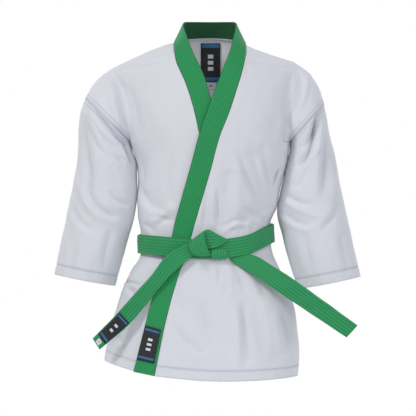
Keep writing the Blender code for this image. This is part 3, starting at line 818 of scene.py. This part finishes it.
# %% [markdown]
# A sleeve is a tube of rings that lean from the armhole to the cuff. The creases that are seen
# from the front press the front half in, and the same ones, a little lower, the back half. The
# side next to the body stays calm, so that the sleeve lies close to it.

# %% Sleeves
SLEEVE_RINGS = 150
SLEEVE_SIDES = 132
CUFF_HEM = 22 * MM
CUFF_PUCKER = 0.35 * MM
SLEEVE_RIPPLE = 1.2
BACK_SHIFT = 24 * MM
BACK_SHARE = 0.85
INNER_CALM = (0.86, 0.995)
SEAM_SHARE = 0.02


def armhole_square(data):
    """Unit vector square to the armhole seam, pointing down the sleeve"""
    lean = (data["outer_z"][0] - data["inner_z"][0], 0, data["inner_x"][0] - data["outer_x"][0])
    square = np.array(lean)
    return square * math.copysign(1, -square[2]) / np.linalg.norm(square)


def sleeve(name, data, creases):
    """A creased tube from the armhole seam to the cuff"""
    ring = station(data, np.linspace(0, 1, SLEEVE_RINGS))
    zero = np.zeros_like(ring["depth"])
    outer = np.stack([ring["outer_x"], ring["middle"], ring["outer_z"]], axis=-1)[:, None]
    inner = np.stack([ring["inner_x"], ring["middle"], ring["inner_z"]], axis=-1)[:, None]
    side = np.stack([zero, ring["depth"], zero], axis=-1)[:, None]
    angles = np.linspace(0, 2 * math.pi, SLEEVE_SIDES, endpoint=False)[None, :, None]
    middle = (outer + inner) / 2
    points = middle + (outer - inner) / 2 * np.cos(angles) + side * np.sin(angles)
    drop = 1 - ease(0, SEAM_SHARE, np.linspace(0, 1, SLEEVE_RINGS))
    points = points + armhole_square(data) * SEAM_GAP / 2 * drop[:, None, None]
    normals = outward_normals(points, middle, ring=True)
    along = lengths(points, 0)
    x, z = points[..., 0], points[..., 2]
    front = ease(-0.35, 0.35, -np.sin(angles[..., 0]))
    press = crease_depth(x, z, creases) * front
    press = press + BACK_SHARE * crease_depth(x, z + BACK_SHIFT, creases) * (1 - front)
    press = press * (1 - ease(*INNER_CALM, -np.cos(angles[..., 0])))
    push = (-press + SLEEVE_RIPPLE * ripple(x, z)) * sewn_edge(along)
    from_cuff = along[-1:] - along
    around = lengths(points, 1)
    pucker = CUFF_PUCKER * np.sin(around * 400 + 2) * (1 - ease(12 * MM, 30 * MM, from_cuff))
    stitched = -HEM_GROOVE * np.exp(-((from_cuff - CUFF_HEM) / GROOVE_WIDTH) ** 2)
    points = points + normals * (push + pucker + stitched)[..., None]
    marks = {"hem": from_cuff, "side": along, "fold": np.maximum(-push, 0) / FOLD_FULL}
    return cloth(name, points, normals, WALL, ring=True, marks=marks)


sleeve_right = sleeve("sleeve_right_cloth", RIGHT_SLEEVE, RIGHT_SLEEVE_CREASES)
sleeve_left = sleeve("sleeve_left_cloth", LEFT_SLEEVE, LEFT_SLEEVE_CREASES)

# %% [markdown]
# The collar band is one long strip: up the under lapel, round the neck, and down the over lapel.
# On the real jacket it is several layers quilted together by close rows of stitches, so the
# strip is raised between the rows, and each row lies in a narrow groove.

# %% Collar band
BAND_CHANNELS = 8
BAND_COLUMNS = 6 * BAND_CHANNELS + 1
BAND_RELIEF = 0.8 * MM
BAND_FULLNESS = 0.6
BAND_SMOOTHING = 12
BAND_EDGE = 0.7 * MM
LAPEL_ROWS = 250
NECK_ROWS = 80


def lapel_rows(hand, columns=BAND_COLUMNS):
    """Rows of points across one lapel, seam edge first, from the hem up"""
    under = hand == "right"
    lapel = UNDER_LAPEL if under else OVER_LAPEL
    seam_z = np.linspace(lapel["seam_z"][0], lapel["seam_z"][-1], LAPEL_ROWS)[:, None]
    edge = {name: read(lapel, "seam_z", seam_z, name) for name in lapel}
    standing = ease(STAND_START_Z, STAND_FULL_Z, seam_z)
    sink = WALL + (under_depth(seam_z) if under else 0.0)
    seam = body_point(edge["seam_x"], seam_z, "front", 0.0, sink)
    share = np.linspace(0, 1, columns)[None, :]
    x = mix(edge["seam_x"], edge["free_x"], share)
    z = mix(seam_z, edge["free_z"], share)
    points = body_point(x, z, "front", 0.0, sink)
    straight = mix(seam[..., 1], edge["free_y"], share)
    points[..., 1] = mix(points[..., 1], straight, standing)
    return points


def neck_rows(columns=BAND_COLUMNS):
    """Rows of points across the collar, round the back of the neck"""
    place = np.linspace(0, 1, NECK_ROWS + 2)[1:-1, None]
    x = -NECK_HALF * np.cos(math.pi * place)
    free = station(BACK_COLLAR, place)
    seam = np.stack([x, neckline_y(x), shoulder_z(x) + SEAM_GAP * 2], axis=-1)
    edge = np.stack([free["free_x"], free["free_y"], free["free_z"]], axis=-1)
    return mix(seam, edge, np.linspace(0, 1, columns)[None, :, None])


def smooth_along(points, times):
    """Evens out a grid along its length, keeping its ends"""
    for _again in range(times):
        points = points.copy()
        points[1:-1] = (points[:-2] + 2 * points[1:-1] + points[2:]) / 4
    return points


def collar_band():
    """The quilted band, raised between its rows of stitches"""
    points = np.concatenate([lapel_rows("right"), neck_rows(), lapel_rows("left")[::-1]])
    points = smooth_along(points, BAND_SMOOTHING)
    middle = np.stack([points[..., 0] * 0.2, np.zeros(points.shape[:2]), points[..., 2]], axis=-1)
    normals = outward_normals(points, middle)
    share = np.linspace(0, 1, BAND_COLUMNS)[None, :]
    swell = np.abs(np.sin(math.pi * share * BAND_CHANNELS)) ** BAND_FULLNESS
    points = points + normals * (BAND_RELIEF * (swell - 1))[..., None]
    marks = {"channel": share * BAND_CHANNELS}
    return cloth("collar_band_cloth", points, normals, BAND_WALL, offset=1, marks=marks, edge=BAND_EDGE)


band = collar_band()

# %% [markdown]
# The belt goes twice round the waist, one turn lying on the other. Its ends and the turns of the
# knot are straps between two long edges, each a little crowned across and uneven along.

# %% Belt round the waist
BELT_SIDES = 260
BELT_COLUMNS = 13
TURN_SLIP = 1.0 * MM
TURN_MIDDLE = (-0.01, 0, -0.44)
TURN_WAVES = 9
TURN_WAVE = 0.2 * MM
EDGE_ROUND = 0.7 * MM
BELT_LAYER = 3.0 * MM


def belt_turn(rest, slip):
    """Points of one turn of the belt round the waist"""
    angles = np.linspace(0, 2 * math.pi, BELT_SIDES, endpoint=False)
    heights = np.linspace(-BELT_WIDTH / 2, BELT_WIDTH / 2, BELT_COLUMNS)[:, None]
    grids = []
    for face, keep in (("front", np.sin(angles) < 0), ("back", np.sin(angles) >= 0)):
        belt_z = np.full_like(angles, BELT_LINE["front"][0])
        for _again in range(5):
            middle, half = body_axis(belt_z)
            belt_z = read(BELT_LINE, "x", middle + half * np.cos(angles), face)
        z = belt_z[None, :] + heights + slip
        middle, half = body_axis(z)
        point = body_point(middle + half * np.cos(angles)[None, :], z, face)
        out = np.stack([point[..., 0] - middle, point[..., 1], np.zeros_like(z)], axis=-1)
        point = point + out * rest / np.linalg.norm(out, axis=-1, keepdims=True)
        grids.append((point, keep))
    return np.where(grids[0][1][None, :, None], grids[0][0], grids[1][0])


def belt_round_waist():
    """Both turns of the belt, the outer one lying a little lower"""
    turns = []
    outer_rest = BELT_CLEARANCE + BELT_LAYER + SEAM_GAP
    for rest, slip in ((BELT_CLEARANCE, TURN_SLIP), (outer_rest, -TURN_SLIP)):
        points = belt_turn(rest, slip)
        normals = outward_normals(points, np.array(TURN_MIDDLE), ring=True)
        turn = np.linspace(0, 2 * math.pi, BELT_SIDES, endpoint=False)
        wave = TURN_WAVE * np.abs(np.sin(turn * TURN_WAVES))
        points = points + normals * wave[None, :, None]
        name = f"belt_turn_{len(turns)}"
        turns.append(cloth(name, points, normals, BELT_LAYER, offset=1, ring=True, edge=EDGE_ROUND))
    bpy.ops.object.select_all(action="DESELECT")
    for turn in turns:
        turn.select_set(True)
    bpy.context.view_layer.objects.active = turns[0]
    bpy.ops.object.join()
    turns[0].select_set(False)
    turns[0].name = "belt_waist_cloth"
    return turns[0]


belt_waist = belt_round_waist()

# %% [markdown]
# Each strap is a table of its two edges, a and b, row by row along its length. The knot is three
# of them: the turn in front, the loop behind it and the tongue that comes out below.

# %% Straps: belt ends and knot
RIGHT_END = table(
    "ax ay az bx by bz",
    (-34, -119.6, -440, -30, -118.6, -470),
    (-50, -122.6, -447, -42, -122.6, -476),
    (-92, -125.6, -469.5, -67, -125.6, -498),
    (-129, -121.6, -517, -107, -119.6, -539),
    (-165, -117.6, -557, -141, -113.6, -582),
    (-205, -111.6, -602, -181, -106.6, -628),
    (-258, -104.6, -656, -243, -98.6, -681),
)
LEFT_END = table(
    "ax ay az bx by bz",
    (88, -96.2, -469.5, 41, -110.2, -480.5),
    (114, -104.7, -481, 74, -116.7, -502.5),
    (148, -109.7, -502.5, 108, -118.7, -524),
    (184.7, -112.7, -526, 160, -117.2, -560),
    (255, -112.7, -577, 230, -109.7, -607),
    (323.9, -109.7, -627, 300, -105.7, -654),
)
KNOT_FRONT = table(
    "ax ay az bx by bz",
    (-44, -125.6, -443, -13.5, -127.3, -418.5),
    (-46, -129.9, -451, -12, -131.9, -434),
    (-44.5, -131.9, -460.5, -8, -132.9, -451.5),
    (-39.5, -128.9, -470, -1.5, -129.9, -466.5),
    (-35, -122.4, -474, 2.5, -122.9, -474),
)
KNOT_LOOP = table(
    "ax ay az bx by bz",
    (-30, -119.8, -450, -12.5, -121.8, -418),
    (-10, -119.8, -458, -2, -122.3, -416.5),
    (12, -119.8, -456, 15, -121.3, -425.5),
    (28, -118.3, -448, 28, -119.3, -432.5),
    (37, -116.8, -442.5, 39, -116.8, -437.5),
)
KNOT_TONGUE = table(
    "ax ay az bx by bz",
    (3.5, -118.1, -460.5, 30, -116.1, -458.5),
    (2.8, -122.9, -463.5, 36.5, -120.9, -462.5),
    (2.5, -125.4, -470, 39.5, -122.9, -470),
    (3, -123.4, -477, 39, -120.9, -477),
    (5, -117.9, -480.5, 36, -115.4, -480.5),
)
FRONTWARD = np.array((0.0, -1.0, 0.0))


def strap_grid(data, rows, columns, start=0.0, stop=1.0, margin=0.0):
    """A grid of points between a strap's two long edges"""
    edge = station(data, np.linspace(start, stop, rows)[:, None])
    a = np.stack([edge["ax"], edge["ay"], edge["az"]], axis=-1)
    b = np.stack([edge["bx"], edge["by"], edge["bz"]], axis=-1)
    return mix(a, b, np.linspace(margin, 1 - margin, columns)[None, :, None])


def strap(name, data, rows, columns=15, crown=0.0, wave=0.0):
    """A stretch of belt, crowned across and slightly uneven along"""
    points = strap_grid(data, rows, columns)
    share = np.linspace(0, 1, columns)[None, :]
    along = lengths(points, 0)
    lift = crown * 4 * share * (1 - share)
    uneven = wave * np.sin(along * 75 + 3 * share) * np.sin(along * 31 + 1)
    normals = grid_normals(points)
    if np.sum(normals * FRONTWARD) < 0:
        normals = -normals
    points = points + normals * (lift + uneven)[..., None]
    return cloth(name, points, normals, BELT_WALL, offset=-1, edge=EDGE_ROUND)


STRAP_WAVE = 1.2 * MM
end_right = strap("belt_end_right_cloth", RIGHT_END, 110, wave=STRAP_WAVE)
end_left = strap("belt_end_left_cloth", LEFT_END, 110, wave=STRAP_WAVE)
knot_front = strap("knot_front_cloth", KNOT_FRONT, 30, crown=2 * MM)
knot_loop = strap("knot_loop_cloth", KNOT_LOOP, 24)
knot_tongue = strap("knot_tongue_cloth", KNOT_TONGUE, 26, crown=1.5 * MM)

# %% [markdown]
# Labels are thin woven patches. Their real wording is left out, and plain bars stand for it.

# %% Labels
NECK_LABEL = table("x z half_width half_height rest", (1.5, -35, 22.5, 43.5, 2.7))
SIZE_LABEL = table("x z half_width half_height rest", (1.5, -88, 13.5, 8, 0.8))
LAPEL_LABEL_REST = 1.6 * MM
STRAP_LABEL_REST = 0.5 * MM
LABEL_MARGIN = 0.06
LAPEL_LABEL_LOW = -710 * MM
LAPEL_LABEL_HIGH = -636 * MM


def patch(name, points):
    """A label, with its own corner-to-corner coordinates kept as marks"""
    count, across = points.shape[:2]
    marks = {
        "over": np.linspace(0, 1, across)[None, :],
        "up": np.linspace(0, 1, count)[:, None],
    }
    normals = np.broadcast_to(FRONTWARD, points.shape)
    return cloth(name, points, normals, LABEL_WALL, offset=1, marks=marks)


def back_label(name, data):
    """A label sewn on the inside of the back below the neck"""
    x = data["x"][0] + np.linspace(-1, 1, 16)[None, :] * data["half_width"][0]
    z = data["z"][0] + np.linspace(-1, 1, 24)[:, None] * data["half_height"][0]
    points = body_point(x, z, "back")
    points[..., 1] -= WALL + data["rest"][0]
    return patch(name, points)


def lapel_label():
    """The label sewn on the low end of the over lapel"""
    seam_z = np.linspace(LAPEL_LABEL_LOW, LAPEL_LABEL_HIGH, 24)[:, None]
    edge = {name: read(OVER_LAPEL, "seam_z", seam_z, name) for name in OVER_LAPEL}
    share = np.linspace(1 - LABEL_MARGIN, LABEL_MARGIN, 16)[None, :]
    x = mix(edge["seam_x"], edge["free_x"], share)
    z = mix(seam_z, edge["free_z"], share)
    rest = BAND_WALL - WALL + LAPEL_LABEL_REST
    return patch("label_lapel_cloth", body_point(x, z, "front", 0.0, -rest))


label_neck = back_label("label_neck_cloth", NECK_LABEL)
label_size = back_label("label_size_cloth", SIZE_LABEL)
label_lapel = lapel_label()
lift = FRONTWARD * (STRAP_LABEL_REST + STRAP_WAVE / 2)
label_belt = patch("label_belt_cloth", strap_grid(RIGHT_END, 24, 12, 0.815, 0.965, LABEL_MARGIN) + lift)
label_tag = patch("label_tag_cloth", strap_grid(RIGHT_END, 8, 8, 0.972, 0.995, 0.3) + lift)

# %% [markdown]
# Shader maths reads best as plain expressions, so a small class wraps a socket and gives it
# Python's operators. Every other node comes from one method, which sets the node's own settings
# first and its sockets after them. Stitches are drawn from the distances stored on each piece:
# a row of thread lies where the distance has one value, and it is cut into dashes along it.

# %% Shader maths
class Shade:
    """A number on a surface, written with Python's operators"""

    def __init__(self, finish, socket):
        self.finish = finish
        self.socket = socket

    def maths(self, operation, *others, swap=False):
        """One maths node on this number and others"""
        values = [self, *others]
        if swap:
            values = values[::-1]
        inputs = dict(enumerate(values))
        return self.finish.node("ShaderNodeMath", {"operation": operation}, inputs)

    def __add__(self, other):
        return self.maths("ADD", other)

    def __radd__(self, other):
        return self.maths("ADD", other)

    def __sub__(self, other):
        return self.maths("SUBTRACT", other)

    def __rsub__(self, other):
        return self.maths("SUBTRACT", other, swap=True)

    def __mul__(self, other):
        return self.maths("MULTIPLY", other)

    def __truediv__(self, other):
        return self.maths("DIVIDE", other)

    def __pow__(self, other):
        return self.maths("POWER", other)

    def __lt__(self, other):
        return self.maths("LESS_THAN", other)

    def __gt__(self, other):
        return self.maths("GREATER_THAN", other)

    def sine(self):
        return self.maths("SINE")

    def size(self):
        return self.maths("ABSOLUTE")

    def part(self):
        return self.maths("FRACT")


class Finish:
    """A material being built round one Principled shader"""

    def __init__(self, name, roughness=0.85, sheen=0.0):
        self.material = bpy.data.materials.new(name)
        self.material.use_nodes = True
        self.tree = self.material.node_tree
        self.shader = self.tree.nodes["Principled BSDF"]
        self.shader.inputs["Roughness"].default_value = roughness
        self.shader.inputs["Sheen Weight"].default_value = sheen
        self.shader.inputs["Sheen Roughness"].default_value = 0.5

    def node(self, kind, settings=None, inputs=None, output=0):
        """Any node: its settings first, then the values or links of its sockets"""
        made = self.tree.nodes.new(kind)
        for key, value in (settings or {}).items():
            setattr(made, key, value)
        for key, value in (inputs or {}).items():
            if isinstance(value, Shade):
                self.tree.links.new(value.socket, made.inputs[key])
            else:
                made.inputs[key].default_value = value
        return Shade(self, made.outputs[output])

    def mark(self, name):
        """A mark stored on the piece, such as a distance from a seam"""
        return self.node("ShaderNodeAttribute", {"attribute_name": name}, output="Fac")

    def cloth_uv(self):
        """Lengths across and along the cloth, in metres"""
        uv = self.node("ShaderNodeUVMap", {"uv_map": "cloth"})
        split = self.node("ShaderNodeSeparateXYZ", inputs={0: uv})
        return split, Shade(self, split.socket.node.outputs[1])

    def noise(self, scale, detail=2.0, rough=0.5):
        """Even noise in the object's own space, from 0 to 1"""
        place = self.node("ShaderNodeTexCoord", output="Object")
        inputs = {"Vector": place, "Scale": scale, "Detail": detail, "Roughness": rough}
        return self.node("ShaderNodeTexNoise", inputs=inputs)

    def blend(self, factor, one, other):
        """A colour between two others"""
        inputs = {0: factor, 6: one, 7: other}
        return self.node("ShaderNodeMix", {"data_type": "RGBA"}, inputs, output=2)

    def done(self, colour, height, relief=0.4 * MM, roughness=None):
        """Connects colour, roughness and bump"""
        self.tree.links.new(colour.socket, self.shader.inputs["Base Color"])
        inputs = {"Strength": 1.0, "Distance": relief, "Height": height}
        bump = self.node("ShaderNodeBump", inputs=inputs)
        self.tree.links.new(bump.socket, self.shader.inputs["Normal"])
        if roughness is not None:
            self.tree.links.new(roughness.socket, self.shader.inputs["Roughness"])
        return self.material


def colour(red, green, blue):
    return (red, green, blue, 1.0)


# %% [markdown]
# Four cloths dress the jacket: white cotton, the quilted green of the band, the green of the belt
# and the woven labels. Grooves and folds are painted a little darker than the cloth beside them,
# as painted shade. The inside of the band is painted the darkest green, as painted shade, and the
# inside of the white cloth is painted lighter, as painted light.

# %% Thread, weave and finishes
STITCH_LENGTH = 3.4 * MM
THREAD_WIDTH = 0.9 * MM
WEAVE_PITCH = 1.1 * MM
SEWN_DASH = 0.72
QUILTED_DASH = 0.7
HEM_ROWS_APART = 4 * MM
FELL_STITCHES = (2.5 * MM, 9.5 * MM)


def row_of_thread(distance, along, place):
    """1 on the dashes of a row of stitches, else 0"""
    near = (distance - place).size() < THREAD_WIDTH / 2
    return near * ((along / STITCH_LENGTH).part() < SEWN_DASH)


def groove(distance, place, width):
    """1 in the middle of a stitched groove, falling to 0 beside it"""
    off = (distance - place) / width
    return (off * off * -1.4).maths("EXPONENT")


def weave(across, along, pitch=WEAVE_PITCH):
    """Over and under of a plain weave, from 0 to 1"""
    turn = 2 * math.pi / pitch
    return ((across * turn).sine() * (along * turn).sine()) * 0.5 + 0.5


def white_cotton():
    """White cotton, sewn hems and felled seams; painted shade in grooves and folds, painted light inside
    """
    finish = Finish("white_cotton", sheen=0.15)
    across, along = finish.cloth_uv()
    hem = finish.mark("hem")
    side = finish.mark("side")
    thread = row_of_thread(hem, across, HEM_STITCH)
    thread = thread + row_of_thread(hem, across, HEM_STITCH - HEM_ROWS_APART)
    dent = groove(hem, HEM_STITCH - HEM_ROWS_APART / 2, GROOVE_WIDTH)
    for place in FELL_STITCHES:
        thread = thread + row_of_thread(side, along, place)
        dent = dent + groove(side, place, 1.6 * MM)
    crumple = finish.noise(70, 3) * 1.3 + finish.noise(22, 2) * 2.4
    cloudy = finish.noise(9, 3)
    height = weave(across, along) * 0.10 + crumple + thread * 0.5 - dent * 0.9
    base = finish.blend(cloudy, colour(0.735, 0.745, 0.80), colour(0.80, 0.80, 0.85))
    # Painted light: the inside of the white cloth is painted lighter than its outside
    lit = finish.blend(finish.mark("inside"), base, colour(0.93, 0.93, 0.95))
    # Painted shade: the stitched grooves of the hems and seams are painted darker
    shaded = finish.blend(dent * 0.42, lit, colour(0.42, 0.44, 0.52))
    # Painted shade: the cloth is painted darker the further it is pressed into a crease
    painted_fold_shade = finish.blend(finish.mark("fold") ** 2 * 0.22, shaded, colour(0.36, 0.37, 0.44))
    sewn = finish.blend(thread * 0.5, painted_fold_shade, colour(0.86, 0.88, 0.92))
    return finish.done(sewn, height, 0.5 * MM, 0.80 + cloudy * 0.12)


def quilted_green():
    """The band: green cotton, with painted shade in the grooves of its stitch rows and on its inside"""
    finish = Finish("quilted_green", sheen=0.1)
    across, along = finish.cloth_uv()
    valley = 1 - (finish.mark("channel").part() * math.pi).sine()
    thread = (valley > 0.86) * ((along / STITCH_LENGTH).part() < QUILTED_DASH)
    cloudy = finish.noise(26, 3)
    base = finish.blend(cloudy, colour(0.012, 0.315, 0.088), colour(0.018, 0.365, 0.106))
    # Painted shade: the band is painted almost black-green in the grooves between its channels
    painted_groove_shade = finish.blend(valley ** 1.1 * 0.95, base, colour(0.003, 0.045, 0.016))
    sewn = finish.blend(thread * 0.55, painted_groove_shade, colour(0.020, 0.23, 0.085))
    # Painted shade: the inside of the band is painted a much darker green
    sewn = finish.blend(finish.mark("inside") * 0.75, sewn, colour(0.004, 0.040, 0.014))
    woven = weave(across, along) * 0.2 + finish.noise(160, 2) * 0.5
    height = woven + thread * 0.4 - valley ** 2 * 0.8
    return finish.done(sewn, height, 0.5 * MM, 0.70 + cloudy * 0.15)


def belt_green():
    """The belt: lighter, smoother green cotton with fine rows along it"""
    finish = Finish("belt_green", sheen=0.15)
    across, along = finish.cloth_uv()
    return belt_cloth(finish, across, along)


BELT_ROWS = 6


def belt_cloth(finish, across, along):
    """Fine rows of stitches that run along a belt with painted shade in their grooves, and its weave"""
    pitch = BELT_WIDTH / BELT_ROWS
    valley = 1 - ((across / pitch).part() * math.pi).sine()
    cloudy = finish.noise(18, 3)
    base = finish.blend(cloudy, colour(0.014, 0.315, 0.100), colour(0.022, 0.365, 0.118))
    # Painted shade: the belt is painted darker along the grooves of its stitch rows
    painted_groove_shade = finish.blend(valley ** 1.6 * 0.7, base, colour(0.006, 0.105, 0.038))
    thread = (valley > 0.9) * ((along / STITCH_LENGTH).part() < QUILTED_DASH)
    sewn = finish.blend(thread * 0.35, painted_groove_shade, colour(0.026, 0.27, 0.100))
    woven = weave(across, along) * 0.15 + finish.noise(120, 2) * 0.4
    height = woven + thread * 0.3 - valley ** 3 * 0.5
    return finish.done(sewn, height, 0.45 * MM, 0.62 + cloudy * 0.15)


def belt_green_round():
    """The same belt where its length runs round the waist, across the grid's rows"""
    finish = Finish("belt_green_round", sheen=0.15)
    along, across = finish.cloth_uv()
    return belt_cloth(finish, across, along)


WIDE_SPAN = (0.06, 0.94)
NARROW_SPAN = (0.36, 0.64)
RIB_PITCH = 0.8 * MM


def bars(over, up, places, span, thick):
    """1 on plain bars across a label, at places from its foot, 0 to 1"""
    inside = (over > span[0]) * (over < span[1])
    total = inside * 0.0
    for place in places:
        total = total + inside * ((up - place).size() < thick)
    return total.maths("MINIMUM", 1.0)


def woven_label(name, ground, bar, bar_places, second, second_places, thick):
    """A woven label with plain bars of two colours"""
    finish = Finish(name, roughness=0.6)
    over = finish.mark("over")
    up = finish.mark("up")
    _across, along = finish.cloth_uv()
    first = bars(over, up, bar_places, WIDE_SPAN, thick[0])
    other = bars(over, up, second_places, NARROW_SPAN, thick[1])
    ribs = (along * (2 * math.pi / RIB_PITCH)).sine() * 0.5 + 0.5
    lighter = colour(*(min(1.0, part * 1.6 + 0.01) for part in ground[:3]))
    base = finish.blend(ribs * 0.3, ground, lighter)
    marked = finish.blend(first, base, bar)
    both = finish.blend(other, marked, second)
    edge = 1 - (over - 0.5).size() * 2
    rim = edge < 0.05
    sewn = finish.blend(rim * 0.6, both, colour(0.05, 0.05, 0.055))
    height = ribs * 0.3 + first * 0.4 + other * 0.4 + finish.noise(300, 2) * 0.3
    return finish.done(sewn, height, 0.3 * MM)


BLACK = colour(0.012, 0.012, 0.014)
WHITE_THREAD = colour(0.75, 0.77, 0.80)
BLUE_THREAD = colour(0.03, 0.16, 0.36)
cotton = white_cotton()
quilted = quilted_green()
belt_finish = belt_green()
round_finish = belt_green_round()
marked = ("neck_label", BLACK, BLUE_THREAD, (0.07, 0.93), WHITE_THREAD, (0.34, 0.5, 0.66), (0.045, 0.05))
neck_woven = woven_label(*marked)
marked = ("lapel_label", BLACK, BLUE_THREAD, (0.1, 0.9), WHITE_THREAD, (0.36, 0.5, 0.64), (0.03, 0.035))
lapel_woven = woven_label(*marked)
marked = ("belt_label", BLACK, BLUE_THREAD, (0.1, 0.9), WHITE_THREAD, (0.4, 0.6), (0.03, 0.04))
belt_woven = woven_label(*marked)
marked = ("size_label", WHITE_THREAD, WHITE_THREAD, (), BLACK, (0.5,), (0.03, 0.08))
size_woven = woven_label(*marked)
print(len(bpy.data.materials), "materials")

# %% [markdown]
# Every piece takes its finish and hides the solid it stands for, and the area of its cloth is
# printed. Nothing on the jacket moves by itself, so all of it rides on one body.

# %% Dress the model
def dress(piece, node, finish):
    piece.data.materials.clear()
    piece.data.materials.append(finish)
    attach(piece, "root")
    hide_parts(node)


def cloth_area(piece):
    """Half the area of both faces of a piece, in square metres"""
    return sum(polygon.area for polygon in piece.data.polygons) / 2


for piece in bpy.data.objects:
    if piece.name.endswith("_cloth"):
        print(piece.name, "area", round(cloth_area(piece), 4))

dress(front_left, "front_left", cotton)
dress(front_right, "front_right", cotton)
dress(back, "back", cotton)
dress(sleeve_right, "sleeve_right", cotton)
dress(sleeve_left, "sleeve_left", cotton)
dress(band, "collar_band", quilted)
dress(belt_waist, "belt_waist", round_finish)
dress(end_right, "belt_end_right", belt_finish)
dress(end_left, "belt_end_left", belt_finish)
dress(knot_front, "knot_front", belt_finish)
dress(knot_loop, "knot_loop", belt_finish)
dress(knot_tongue, "knot_tongue", belt_finish)
dress(label_neck, "label_neck", neck_woven)
dress(label_size, "label_size", size_woven)
dress(label_lapel, "label_lapel", lapel_woven)
dress(label_belt, "label_belt", belt_woven)
dress(label_tag, "label_tag", size_woven)

# %% [markdown]
# The floor is a wide pale disc that turns clear away from the jacket, so no edge of it shows.

# %% Floor
FLOOR_Z = -1.0
FLOOR_RADIUS = 4.0
FLOOR_FADE = (0.5, 1.5)
place = (0, 0, FLOOR_Z)
bpy.ops.mesh.primitive_circle_add(vertices=96, radius=FLOOR_RADIUS, fill_type="NGON", location=place)
floor = bpy.context.object
floor.name = "floor"
floor.select_set(False)
pale = Finish("pale_floor", roughness=0.9)
where = pale.node("ShaderNodeTexCoord", output="Object")
away = pale.node("ShaderNodeVectorMath", {"operation": "LENGTH"}, {0: where}, output="Value")
clear = pale.node("ShaderNodeBsdfTransparent")
pale.shader.inputs["Base Color"].default_value = colour(0.93, 0.94, 0.95)
fading = pale.node(
    "ShaderNodeMapRange",
    {"interpolation_type": "SMOOTHSTEP"},
    {"Value": away, "From Min": FLOOR_FADE[0], "From Max": FLOOR_FADE[1]},
)
faded = pale.node(
    "ShaderNodeMixShader",
    inputs={0: fading, 1: Shade(pale, pale.shader.outputs[0]), 2: clear},
)
surface = pale.tree.nodes["Material Output"].inputs["Surface"]
pale.tree.links.new(faded.socket, surface)
floor.data.materials.append(pale.material)
